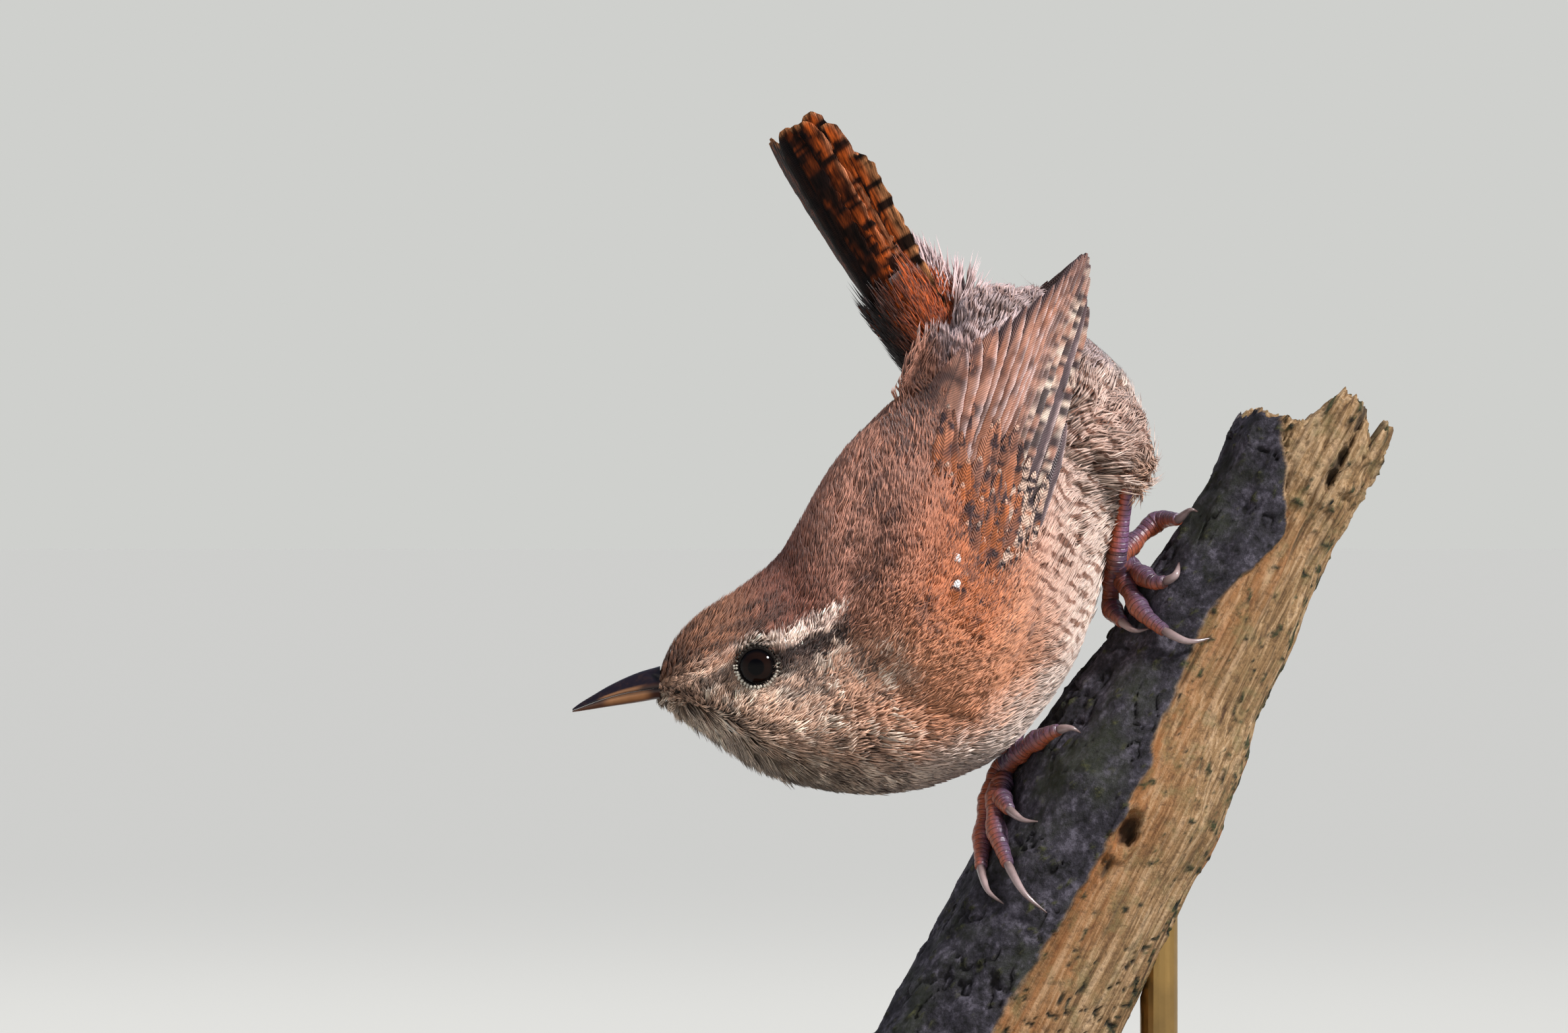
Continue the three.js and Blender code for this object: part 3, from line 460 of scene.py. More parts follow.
def scatter(density, box, seed):
    """Even, patternless places on the body: an additive sequence of two irrational steps, pulled
    through the running sums of the area."""
    (s0, s1), (a0, a1) = box
    s = np.linspace(s0, s1, 240)
    a = np.linspace(a0, a1, 241)
    S, A = np.meshgrid(s, a, indexing="ij")
    e = 1e-3
    here = body_point(S, A)
    by_s, by_a = (body_point(S + e, A) - here) / e, (body_point(S, A + e) - here) / e
    cell = np.linalg.norm(np.cross(by_s, by_a), axis=-1) * (s[1] - s[0]) * (a[1] - a[0])
    count = int(cell.sum() * density)
    k = np.arange(count)
    first, second = ((0.5 + k * step + seed * shift) % 1 for step, shift in SCATTER_STEPS)
    row_sum = np.cumsum(cell.sum(axis=1))
    at = np.interp(first, row_sum / row_sum[-1], np.arange(len(s)))
    row = np.clip(np.round(at).astype(int), 0, len(s) - 1)
    running = np.cumsum(cell, axis=1)
    running = running / running[:, -1:]
    flat = (running + np.arange(len(s))[:, None]).ravel()
    found = np.clip(np.searchsorted(flat, row + second) - row * len(a), 0, len(a) - 1)
    before = np.where(found > 0, running[row, found - 1], 0)
    inside = (second - before) / np.maximum(running[row, found] - before, 1e-12)
    along = np.interp(at, np.arange(len(s)), s)
    return np.stack([along, a[np.clip(found - 1, 0, None)] + inside * (a[1] - a[0])], 1)


# Plumage colours


class Paint:
    """Layers of colour on many places, each laid over those before it by its weight there."""

    def __init__(self, colour, tone):
        self.colour, self.tone = colour, tone

    def over(self, layer, weight):
        """A colour, given itself or by its name in the palette, over what is there."""
        self.tone = blend(self.tone, self.colour[layer] if isinstance(layer, str) else layer, weight)

    def done(self, light):
        """The finished colour under a light for each place."""
        return np.clip(self.tone * np.asarray(light), 0, 1)


def near_line(x, z, line):
    """Distance of places (x, z) from a broken line, and the share along it of the nearest point."""
    best, share = np.full(x.shape, 1e9), np.zeros(x.shape)
    for i in range(len(line) - 1):
        a, b = np.array(line[i], float), np.array(line[i + 1], float)
        run = b - a
        t = np.clip(((x - a[0]) * run[0] + (z - a[1]) * run[1]) / (run @ run), 0, 1)
        gap = np.hypot(x - a[0] - run[0] * t, z - a[1] - run[1] * t)
        share = np.where(gap < best, (i + t) / (len(line) - 1), share)
        best = np.minimum(best, gap)
    return best, share


# Line of the pale brow (x, z), with its half widths, and the dark lines with reach and strength.
BROW_LINE = [
    (-31.0, 63.3), (-27.8, 64.4), (-26.4, 65.2), (-24.4, 65.9), (-20.7, 66.2), (-16.6, 68.0),
    (-13.6, 69.6),
]
BROW_WIDTH = [0.2, 0.3, 0.45, 0.8, 0.85, 0.75, 0.4]
FACE_LINES = [
    ([(-21.6, 64.2), (-19.2, 64.7), (-16.6, 65.8), (-13.2, 67.3)], 0.85, 2.0),
    ([(-21.4, 63.3), (-18.6, 63.0), (-16.2, 63.7)], 0.42, 0.8),
    ([(-22.6, 60.7), (-19.2, 60.4), (-16.4, 61.2)], 0.36, 0.7),
    ([(-22.0, 58.9), (-19.0, 58.3), (-16.6, 58.7)], 0.34, 0.6),
    ([(-35.0, 60.55), (-33.4, 60.3), (-31.2, 60.2)], 0.30, 0.95),
    ([(-31.2, 60.4), (-28.6, 61.4), (-26.8, 62.2)], 0.55, 0.5),
    ([(-31.5, 57.9), (-28.0, 57.6), (-25.0, 57.0)], 0.40, 0.6),
]
EAR_MIDDLE = (-19.2, 61.6)
UNDER_EYE = (-25.4, 60.1)


def plumage(s, angle, colour):
    """Colour and bar strength of the coat at body places: the back's brown turns through buff to the
    whitish belly as the sine of the angle falls, and the head's marks lie along lines drawn on the
    left side and mirrored to the right."""
    k = np.sin(angle)
    flat = body_point(s, np.arcsin(k * 0.9999))
    x, z = flat[..., 0], flat[..., 2]
    blotch, fleck = lattice_noise(flat / 1.3, 5), lattice_noise(flat / 0.45, 9)
    streak = noise(33, s * 0.9, angle * 15)
    tone = Paint(colour, blend(colour["crown"], colour["nape"], smooth(2.4, 3.8, s)))
    tone.over("back", smooth(4.0, 6.0, s))
    buff = blend(colour["cheek"], colour["breast"], smooth(3.0, 5.5, s))
    buff = blend(buff, colour["flank"], smooth(7.5, 10, s))
    tone.over(buff, smooth(0.55, -0.05, k + 0.12 * blotch))
    # The throat's colour holds painted shade under the head.
    pale = blend(colour["throat"], colour["belly"], smooth(3.5, 6.5, s))
    tone.over(pale, smooth(-0.45, -0.9, k + 0.1 * blotch))
    tone.over("belly", 0.6 * smooth(8.0, 10.0, s) * smooth(0.1, -0.5, k))
    rough = s + 0.3 * blotch
    vent = np.maximum(smooth(9.6, 10.4, rough) * smooth(-0.1, 0.35, k), smooth(11.6, 12.4, rough))
    vent = vent * smooth(12.5, 9.5, x)
    tone.over("vent", vent)
    tone.over("undertail_mark", 0.5 * vent * smooth(0.3, 0.6, lattice_noise(flat / 1.1, 45)))
    head = smooth(6.2, 5.2, s)
    ear = head * smooth(1.15, 0.6, np.hypot((x - EAR_MIDDLE[0]) / 4.6, (z - EAR_MIDDLE[1]) / 2.9))
    dark = 0.25 + 0.35 * smooth(61.8, 63.2, z) + 1.5 * streak + 0.6 * fleck
    tone.over("stripe", ear * np.clip(dark, 0, 0.92))
    pale = np.clip(1.8 * lattice_noise(flat / np.array([0.9, 0.9, 0.5]), 41) - 0.3, 0, 0.85)
    side = head * smooth(0.35, 0.1, k) * smooth(1.2, 1.8, s)
    tone.over("brow", side * np.clip(pale + 0.12, 0, 0.85))
    tone.over("stripe", side * np.clip(-1.8 * lattice_noise(flat / 0.8, 47) - 0.3, 0, 0.8))
    for line, reach, strength in FACE_LINES:
        gap, along = near_line(x, z, line)
        dark = np.exp(-(gap / reach) ** 2) * smooth(1.02, 0.75, along)
        tone.over("stripe", head * np.clip(dark * strength * (1 + 0.25 * blotch), 0, 1))
    gap = np.hypot((x - UNDER_EYE[0]) / 1.3, (z - UNDER_EYE[1]) / 0.9)
    tone.over("brow", head * 0.6 * smooth(1.5, 0.5, gap) * np.clip(0.8 + 0.5 * fleck, 0, 1))
    chin = head * smooth(3.4, 2.2, s) * smooth(-0.35, -0.7, k)
    tone.over("brow", chin * np.clip(0.5 + 0.9 * fleck, 0, 0.95))
    tone.over("stripe", chin * np.clip(-0.7 * lattice_noise(flat / 0.7, 43), 0, 0.6))
    gap, along = near_line(x, z, BROW_LINE)
    reach = np.interp(along, np.linspace(0, 1, len(BROW_WIDTH)), BROW_WIDTH)
    brow = np.exp(-(gap / reach) ** 4) * smooth(1.0, 0.88, along)
    brow = brow * (0.2 + 0.8 * smooth(0.25, 0.42, along))
    tone.over("brow_band", head * brow)
    cap = smooth(4.5, 3.5, s) * smooth(0.2, 0.5, k)
    tone.over("stripe", cap * np.clip(1.8 * streak, 0, 0.6))
    front = smooth(2.4, 1.0, s) * (1 - chin)
    light = 1 + 0.4 * front * fleck + 0.10 * blotch + 0.10 * fleck
    bar = 0.35 * smooth(4.5, 7, s) * smooth(0.0, 0.5, k) + smooth(7.2, 9.0, s) * smooth(0.25, -0.1, k)
    bar = bar * (1 - 0.6 * smooth(-0.75, -0.98, k)) + 0.2 * head * smooth(0.5, 0.0, k) + 0.3 * vent
    return tone.done(light[..., None]), np.clip(bar, 0, 1)


def plumage_near(places, colour):
    """The coat's colour and bar strength at the body place nearest to each of some other places."""
    s, a = (grid.ravel() for grid in ring_grid(0.3, LAST - 0.3, 90, 90))
    grid = body_point(s, a)
    nearest = np.argmin((grid ** 2).sum(axis=1) - 2 * places @ grid.T, axis=1)
    return plumage(s[nearest], a[nearest], colour)


# Finishes


class Finish:
    """A node material. add() makes a node whose inputs are values or other nodes' outputs."""

    def __init__(self, name):
        self.material = bpy.data.materials.new(name)
        self.material.use_nodes = True
        self.tree = self.material.node_tree
        self.shader = self.tree.nodes["Principled BSDF"]

    def add(self, kind, inputs=None, **settings):
        node = self.tree.nodes.new("ShaderNode" + kind)
        for key, value in settings.items():
            setattr(node, key, value)
        for key, value in (inputs or {}).items():
            self.put(node.inputs[key], value)
        return node

    def put(self, socket, value):
        if isinstance(value, bpy.types.NodeSocket):
            self.tree.links.new(value, socket)
        elif isinstance(value, (tuple, list)) and len(value) == 3 and socket.type == "RGBA":
            socket.default_value = (*value, 1)
        else:
            socket.default_value = value

    def surface(self, **inputs):
        for key, value in inputs.items():
            self.put(self.shader.inputs[key.replace("_", " ").title().replace("Ior", "IOR")], value)
        return self.material

    def math(self, operation, first, second=0.0, third=0.0):
        return self.add("Math", {0: first, 1: second, 2: third}, operation=operation).outputs[0]

    def times(self, first, second):
        return self.math("MULTIPLY", first, second)

    def scaled(self, value, gain, offset):
        """The value times a gain plus an offset."""
        return self.math("MULTIPLY_ADD", value, gain, offset)

    def mix(self, amount, first, second, kind="MIX"):
        node = self.add("Mix", data_type="RGBA", blend_type=kind)
        for socket, value in ((node.inputs[0], amount), (node.inputs[6], first), (node.inputs[7], second)):
            self.put(socket, value)
        return node.outputs[2]

    def lit(self, colour, *light):
        """A colour multiplied by a light, given as one value or as red, green and blue."""
        light = dict(enumerate(light * 3 if len(light) == 1 else light))
        return self.mix(1.0, colour, self.add("CombineXYZ", light).outputs[0], "MULTIPLY")

    def ramp(self, value, *stops):
        """Value mapped through colour stops of (place, colour)."""
        node = self.add("ValToRGB", {0: value})
        bits = node.color_ramp.elements
        while len(bits) < len(stops):
            bits.new(0.5)
        for bit, (place, colour) in zip(bits, stops):
            bit.position = place
            bit.color = (*colour, 1) if np.ndim(colour) else (colour, colour, colour, 1)
        return node.outputs[0]

    def bump(self, height, distance, strength=1.0):
        node = self.add("Bump", {"Height": height, "Distance": distance, "Strength": strength})
        self.put(self.shader.inputs["Normal"], node.outputs[0])

    def tint(self):
        """The point colours."""
        return self.add("Attribute", attribute_name="tint").outputs["Color"]

    def parts(self, vector):
        """The three parts of a vector or colour."""
        return self.add("SeparateXYZ", {0: vector}).outputs

    def chart(self, name):
        """The two places in a UV map."""
        return self.parts(self.add("UVMap", uv_map=name).outputs[0])

    def place(self, scale=None, **settings):
        """The place on the object in metres, stretched by a scale if one is given."""
        place = self.add("TexCoord").outputs["Object"]
        if scale is None:
            return place
        inputs = {"Vector": place, "Rotation": settings.pop("rotation", (0.0, 0.0, 0.0)), "Scale": scale}
        return self.add("Mapping", inputs, **settings).outputs[0]

    def noise(self, scale, detail=4.0, roughness=0.55, vector=None):
        """Noise from 0 to 1 at a scale, over the place on the object unless a vector is given."""
        inputs = {"Vector": vector or self.place(), "Scale": scale, "Detail": detail, "Roughness": roughness}
        return self.add("TexNoise", inputs).outputs[0]


def feather_finish(name):
    """Body feathers: the tint, darkened by its strength in bars across the body, with fine barbs
    along each lock as bump and as painted shade at its sides. Painted shade also darkens each lock
    towards its root, where the next row covers it, and the darker parts turn warmer."""
    f = Finish(name)
    tint = f.add("Attribute", attribute_name="tint")
    barb = f.math("ABSOLUTE", f.math("SINE", f.times(f.chart("Lock")[0], 3.1416)))
    run = f.add("VectorMath", {0: f.place(), 1: tuple(BODY_WAY / (BAR_PITCH * MM))}, operation="DOT_PRODUCT")
    run = f.scaled(f.noise(330.0, 3.0), 2.2, run.outputs["Value"])
    band = f.ramp(f.math("SINE", f.times(run, 6.2832)), (0.05, 0.0), (0.6, 1.0))
    band = f.times(band, f.ramp(f.noise(560.0, 2.0), (0.38, 0.1), (0.56, 1.0)))
    bar = f.mix(1.0, tint.outputs["Color"], (0.34, 0.22, 0.17), "MULTIPLY")
    barred = f.mix(f.times(band, tint.outputs["Alpha"]), tint.outputs["Color"], bar)
    # Painted shade: darker at each lock's sides and towards its root, and warmer where darker.
    light = f.times(f.scaled(barb, 0.78, 0.42), f.scaled(f.noise(2600.0, 3.0), 0.36, 0.82))
    light = f.times(light, f.scaled(f.chart("Span")[1], 0.72, 0.42))
    colour = f.lit(barred, f.math("POWER", light, 0.8), light, f.math("POWER", light, 1.2))
    f.bump(barb, 0.00003, 0.6)
    return f.surface(base_color=colour, roughness=0.6, specular_ior_level=0.35, sheen_weight=0.12,
                     sheen_roughness=0.4)


def down_finish(name):
    """The skin under the coat: the same tint, darker, with a streaky grain."""
    f = Finish(name)
    grain = f.noise(1800.0, 5.0, 0.7)
    colour = f.lit(f.tint(), f.scaled(grain, 0.7, 0.30))
    f.bump(grain, 0.0003)
    return f.surface(base_color=colour, roughness=0.85, specular_ior_level=0.2)


def vane_finish(name, pitch=0.3, gloss=0.5, sheen=0.08, mirror=0.45, streak=0.25, relief=0.24):
    """Wing and tail feathers: the tint, hatched by slanting barbs on both sides of the shaft and
    streaked along it."""
    f = Finish(name)
    across, along, _ = f.chart("Vane")
    phase = f.math("SUBTRACT", along, f.times(f.math("ABSOLUTE", across), 1.25))
    phase = f.math("ADD", phase, f.times(f.noise(900.0, 2.0), 0.25))
    barb = f.math("SINE", f.times(phase, 6.2832 / pitch))
    light = f.times(f.scaled(barb, relief, 1.0), f.scaled(f.noise(2200.0, 3.0), 0.4, 0.8))
    run = f.add("CombineXYZ", {0: f.times(across, 3.2), 1: f.times(along, 0.4)}).outputs[0]
    streaks = f.ramp(f.noise(1.0, 3.0, vector=run), (0.36, 1 - streak), (0.64, 1 + 0.5 * streak))
    colour = f.lit(f.tint(), f.times(light, streaks))
    f.bump(barb, 0.00004, 0.7)
    return f.surface(base_color=colour, roughness=gloss, specular_ior_level=mirror, sheen_weight=sheen,
                     sheen_roughness=0.35)


def eye_finish(dark, iris):
    """Wet eye: black pupil, very dark brown iris by the angle from the way it looks, clear coat."""
    f = Finish("wet_eye")
    ring = f.scaled(f.noise(2500.0, 3.0), 0.06, f.parts(f.tint())[0])
    colour = f.ramp(ring, (0.0, dark), (0.40, dark), (0.47, iris), (0.72, iris), (0.86, dark), (1.0, dark))
    return f.surface(base_color=colour, roughness=0.05, specular_ior_level=0.08, coat_weight=0.08,
                     coat_roughness=0.02)


def horn_finish(name, top, low, root):
    """Bill horn. The tint's red is the share of the pale edge colour, its green that of the dark
    brown root and its blue that of painted shade, near black, in the nostril and along the gape."""
    f = Finish(name)
    pale, rooted, black = f.parts(f.tint())
    grain = f.noise(1500.0, 4.0, 0.6)
    colour = f.mix(f.scaled(grain, 0.2, f.math("SUBTRACT", pale, 0.1)), top, low)
    colour = f.mix(rooted, colour, root)
    cloud = f.ramp(f.noise(500.0), (0.3, 0.5), (0.7, 1.3))
    colour = f.mix(0.35, colour, f.mix(1.0, colour, cloud, "MULTIPLY"))
    # Painted shade in the nostril and along the gape, near black.
    colour = f.mix(black, colour, (0.006, 0.004, 0.005))
    f.bump(grain, 0.00003, 0.5)
    return f.surface(base_color=colour, roughness=0.32, specular_ior_level=0.35, coat_weight=0.12,
                     coat_roughness=0.2)


def leg_finish(front, side, dark):
    """Leg skin. The tint's red is the share of the painted warm glow against the painted cool
    sheen, its green that of the dark creases and its blue how much the shank's painted glow lights
    it up; scutes show as bump and dark seams."""
    f = Finish("leg_skin")
    glow_share, creased, bright = f.parts(f.tint())
    scute = f.math("FRACT", f.math("DIVIDE", f.chart("Scute")[1], 0.62))
    seam = f.ramp(scute, (0.0, 0.0), (0.14, 1.0), (0.86, 1.0), (1.0, 0.0))
    grain = f.noise(3200.0, 4.0, 0.6)
    cells = f.add("TexVoronoi", {"Vector": f.place(), "Scale": 2600.0}).outputs[0]
    # Painted light: a warm glow on one side and a cool sheen on the other, and a glow that lights the shank
    # up about twice as bright.
    colour = f.mix(glow_share, side, front)
    colour = f.mix(bright, colour, f.lit(colour, 2.0, 1.7, 1.9))
    colour = f.mix(f.times(creased, 0.8), colour, dark)
    colour = f.mix(f.math("SUBTRACT", 1.0, f.scaled(seam, 0.6, 0.4)), colour, (0.03, 0.012, 0.016))
    colour = f.mix(f.times(grain, 0.2), colour, (0.32, 0.20, 0.22))
    f.bump(f.math("ADD", f.times(seam, 0.7), f.scaled(grain, 0.4, f.times(cells, 0.5))), 0.00014, 0.9)
    return f.surface(base_color=colour, roughness=0.36, specular_ior_level=0.5, subsurface_weight=0.08,
                     coat_weight=0.12, coat_roughness=0.35)


def claw_finish(pale, dark):
    """Claw horn, pale in the middle and dark at the root and the point."""
    f = Finish("claw_horn")
    grain = f.noise(1800.0, 4.0)
    along = f.scaled(grain, 0.3, f.math("SUBTRACT", f.parts(f.tint())[0], 0.15))
    f.bump(grain, 0.00001, 0.4)
    return f.surface(base_color=f.ramp(along, (0.0, dark), (0.55, pale), (1.0, dark)), roughness=0.28,
                     specular_ior_level=0.6, coat_weight=0.3)


def branch_finish(colour):
    """Dead branch: tint red is bare wood, green is crumbs, blue is painted shade in cracks, holes, grooves
    and pits, alpha is rust.
    """
    f = Finish("dead_branch")
    tint = f.add("Attribute", attribute_name="tint")
    bare, crumbs, crack = f.parts(tint.outputs["Color"])
    along = f.place((0.0006, 0.0006, 0.02), rotation=(0.0, float(BRANCH_TILT), 0.0), vector_type="TEXTURE")
    fibre = f.noise(1.0, 8.0, 0.7, along)
    spots = f.noise(420.0, 6.0, 0.65)
    fine = f.noise(1500.0, 6.0, 0.7)
    wood = f.ramp(fibre, (0.34, colour["wood_dark"]), (0.48, colour["wood"]), (0.60, colour["wood_pale"]))
    wood = f.mix(f.times(tint.outputs["Alpha"], 0.8), wood, colour["rust"])
    wood = f.mix(f.ramp(spots, (0.50, 0.0), (0.66, 0.5)), wood, colour["algae"])
    wood = f.mix(f.ramp(fine, (0.38, 0.5), (0.50, 0.0)), wood, colour["wood_dark"])
    bark = f.ramp(f.scaled(fine, 0.45, f.times(spots, 0.55)),
                  (0.40, colour["bark_dark"]), (0.52, colour["bark"]), (0.66, colour["bark_pale"]))
    bark = f.mix(f.ramp(f.noise(110.0, 5.0, 0.6), (0.50, 0.0), (0.64, 0.6)), bark, colour["bark_green"])
    both = f.mix(bare, bark, wood)
    both = f.mix(crumbs, both, f.ramp(fine, (0.40, colour["moss_dark"]), (0.62, colour["moss"])))
    # Painted shade, near black, in cracks, holes, grooves and pits.
    both = f.mix(f.times(crack, 0.88), both, (0.010, 0.008, 0.007))
    f.bump(f.math("ADD", f.times(fine, 0.8), f.times(fibre, 0.7)), 0.0004, 0.9)
    return f.surface(base_color=both, roughness=0.75, specular_ior_level=0.3)


def stand_wood_finish(dark, pale):
    """Stained wood of the base, with its grain and pores along the base."""
    f = Finish("stained_wood")
    rings = f.noise(1.0, 5.0, 0.6, f.place((18.0, 260.0, 260.0)))
    pores = f.noise(1.0, 2.0, 0.5, f.place((120.0, 2600.0, 2600.0)))
    colour = f.mix(f.ramp(rings, (0.35, 0.0), (0.65, 1.0)), dark, pale)
    colour = f.mix(f.ramp(pores, (0.30, 0.7), (0.42, 0.0)), colour, (0.010, 0.006, 0.004))
    f.bump(pores, 0.00004, 0.5)
    return f.surface(base_color=colour, roughness=f.ramp(rings, (0.3, 0.30), (0.7, 0.42)), coat_weight=0.4,
                     coat_roughness=0.2)


def rod_finish(colour):
    """Dull metal of the rods, brushed along them and tarnished in patches."""
    f = Finish("dull_brass")
    brushed = f.noise(1.0, 4.0, 0.6, f.place((2500.0, 2500.0, 90.0)))
    tone = f.mix(f.ramp(f.noise(220.0), (0.4, 0.0), (0.7, 0.5)), colour, (0.20, 0.13, 0.06))
    f.bump(brushed, 0.00002, 0.4)
    return f.surface(base_color=tone, metallic=1.0, roughness=f.ramp(brushed, (0.3, 0.26), (0.7, 0.42)))


def floor_finish(colour):
    """Matt floor with a faint unevenness."""
    f = Finish("studio_floor")
    f.bump(f.noise(90.0, 3.0), 0.0002, 0.15)
    return f.surface(base_color=colour, roughness=1.0, specular_ior_level=0.0)


# Wings, repeated from the part's source


class FoldedWing:
    """A folded wing's sheet over the flank. u runs from the wrist to the tips and v from the lower
    edge over the back, both in millimetres, on the torso's middle plane."""

    BEDDING = 1.4
    U = np.linspace(-18, 44, 125)
    V = np.linspace(-8, 18, 105)

    def __init__(self, sign, x, z, slope):
        self.sign, self.x, self.z = sign, x, z
        self.cos, self.sin = np.cos(np.radians(slope)), np.sin(np.radians(slope))
        u, v = np.meshgrid(self.U, self.V, indexing="ij")
        self.resting = half_width(*self.foot(u, v), self.BEDDING)
        self.flesh = half_width(*self.foot(u, v), 0.0)

    def foot(self, u, v):
        """Place (x, z) of the middle plane under (u, v)."""
        return self.x + u * self.cos - v * self.sin, self.z + u * self.sin + v * self.cos

    def above(self, x, z):
        """The (u, v) over a place (x, z) of the middle plane."""
        return ((x - self.x) * self.cos + (z - self.z) * self.sin,
                -(x - self.x) * self.sin + (z - self.z) * self.cos)

    def beyond(self, u, v):
        """Share from 0 on the wing to 1 well beyond its front, upper and lower rims."""
        away = np.maximum(np.maximum((0.5 - u) / 14.0, (v - 8.2) / 6.0), (-1.0 - v) / 3.5)
        return smooth(0, 1, away)

    def height(self, u, v, cloaked=False):
        """The sheet's distance from the middle plane: a shallow dome that wraps over the back, or
        the bedded body where that stands further out, with a soft change between the two. The
        cloaked sheet sinks to the body's surface beyond the rims."""
        dome = 15.2 - 0.143 * u - 0.0032 * u * u + 0.179 * v - 0.037 * v * v - 0.014 * u * v
        dome = dome - 0.13 * np.maximum(0, v - 6) ** 2
        a = np.clip((u - self.U[0]) / (self.U[1] - self.U[0]), 0, len(self.U) - 1.001)
        b = np.clip((v - self.V[0]) / (self.V[1] - self.V[0]), 0, len(self.V) - 1.001)
        i, j = np.floor(a).astype(int), np.floor(b).astype(int)
        p, q = a - i, b - j

        def between(grid):
            return ((grid[i, j] * (1 - q) + grid[i, j + 1] * q) * (1 - p)
                    + (grid[i + 1, j] * (1 - q) + grid[i + 1, j + 1] * q) * p)

        bed = between(self.resting)
        apart = dome - bed
        sheet = (dome + bed + np.sqrt(apart * apart + 0.5)) / 2
        if not cloaked:
            return sheet
        away = self.beyond(u, v)
        return sheet * (1 - away) + between(self.flesh) * away

    def place(self, u, v, h, cloaked=False):
        """Point h above the sheet at (u, v), along the sheet's own normal."""
        e = 0.25
        here = self.height(u, v, cloaked)
        by_u = (self.height(u + e, v, cloaked) - self.height(u - e, v, cloaked)) / (2 * e)
        by_v = (self.height(u, v + e, cloaked) - self.height(u, v - e, cloaked)) / (2 * e)
        norm = np.sqrt(1 + by_u ** 2 + by_v ** 2)
        x, z = self.foot(u - by_u * h / norm, v - by_v * h / norm)
        return torso_place(x, z, self.sign * (here + h / norm))

    def cloak(self, u, v, h):
        """Point h above the cloaked sheet."""
        return self.place(u, v, h, True)


WINGS = {
    "left": FoldedWing(1, -3.0, 72.1, 70),
    "right": FoldedWing(-1, -3.6, 71.4, 64.5),
}
VANE_COLUMNS = np.array([-1, -0.82, -0.6, -0.38, -0.16, -0.05, 0, 0.05, 0.16, 0.38, 0.6, 0.82, 1])
COVERT_COLUMNS = np.array([-1, -0.7, -0.35, -0.07, 0, 0.07, 0.35, 0.7, 1])


VANE_THICKNESS = 0.10


def vane(place, spec, seed):
    """One feather as a closed thin plate. Its middle line runs from one (u, v) to another and bows
    to one side; the half width opens from the root, holds, and closes in a round tip; the section
    is tilted and cambered with a raised shaft; the edge is nicked where barbs part."""
    rows = spec["rows"]
    t = 1 - (1 - np.linspace(0, 1, rows)) ** 1.35
    t = np.minimum(t, 0.997)
    start, end = np.array(spec["root"], float), np.array(spec["tip"], float)
    run = end - start
    length = np.hypot(*run)
    aside = np.array([-run[1], run[0]]) / length
    since = spec["closing"]
    closing = np.where(t < since, 1, np.sqrt(np.maximum(0, 1 - ((t - since) / (1 - since)) ** 2)))
    closing = closing ** spec.get("point", 1.0)
    half = spec["half"] * np.minimum(1, 0.45 + 1.7 * t) * closing
    q = spec.get("columns", VANE_COLUMNS)[None, :]
    edge = smooth(0.7, 1.0, np.abs(q))
    barbs = t[:, None] * length / 0.55
    nick = np.where(q < 0, noise(3, barbs, seed * 7.3), noise(4, barbs, seed * 3.1 + 5))
    nick = nick * edge * spec.get("nicks", 0.07)
    across = half[:, None] * q * (1 + nick)
    centre = start + run * t[:, None] + aside * (spec.get("bow", 0.0) * np.sin(np.pi * t))[:, None]
    u = centre[:, None, 0] + aside[0] * across
    v = centre[:, None, 1] + aside[1] * across
    lift = spec["lift"] - spec.get("sink", 0.6) * (1 - t) ** 2
    wave = noise(8, t * 3, seed * 1.7)
    lift = lift + spec.get("waver", 0.08) * wave * t
    camber = spec.get("camber", 0.10) * spec["half"] * (1 - q ** 2)
    shaft = 0.11 * np.exp(-(q / 0.06) ** 2) * (1 - 0.8 * t[:, None])
    over = lift[:, None] - spec["tilt"] * across + camber + shaft
    thick = VANE_THICKNESS * (1 - 0.5 * t[:, None])
    upper = place(u, v, over)
    lower = place(u, v, over - shaft - thick)
    points, faces = closed(np.concatenate([upper, lower[:, ::-1]], axis=1))

    def both(values):
        """Values of the upper face for both faces and the two end points."""
        values = np.broadcast_to(values, across.shape)
        values = np.concatenate([values, values[:, ::-1]], axis=1).ravel()
        return np.append(values, values[[0, -1]])

    chart = np.stack([both(across), both(t[:, None] * length)], 1)
    return points, faces, chart, both(t[:, None]), both(q)


def add_vanes(name, slot, place, specs, paint, finish, *nodes):
    """Many vanes with their colours. Each has a cell of its own in the bake's map."""
    parts = []
    side = int(np.ceil(np.sqrt(len(specs))))
    for i, spec in enumerate(specs):
        points, faces, chart, t, q = vane(place, spec, i + spec["seed"])
        tint = paint(spec, t, q, chart)
        cell = np.array([i % side, i // side]) + 0.04 + 0.92 * np.stack([(q + 1) / 2, t], 1)
        parts.append((points, faces, chart, tint, cell / side))
    points, faces, chart, tint, cell = gathered(parts)
    add_piece(name, slot, (points, faces), tint, finish, *nodes, maps={"Vane": chart, "OFBake": cell})


def stepped(t, length, pitch, seed, cover, wobble):
    """Bars across a feather: 1 on a share of each pitch along it, with uneven spacing."""
    y = t * length / pitch
    y = y + wobble * noise(17, y * 1.3, seed * 2.7)
    share = y - np.floor(y)
    return smooth(0.0, 0.12, share) * smooth(cover + 0.12, cover, share)


# Tips (u, v) of the coverts with white ends.
SPOTTED = [(3.9, 5.6), (1.4, 4.8)]


# Ranks of the primaries that show hatched grey webs, and the pitch of the bars by kind.
HATCHED = 0, 2
FLIGHT_BARS = {"primary": 2.2, "secondary": 2.1, "tertial": 2.3}


def shaft_share(q):
    """How much of the shaft's colour shows at a share of the half width."""
    return np.exp(-(q / 0.05) ** 2)


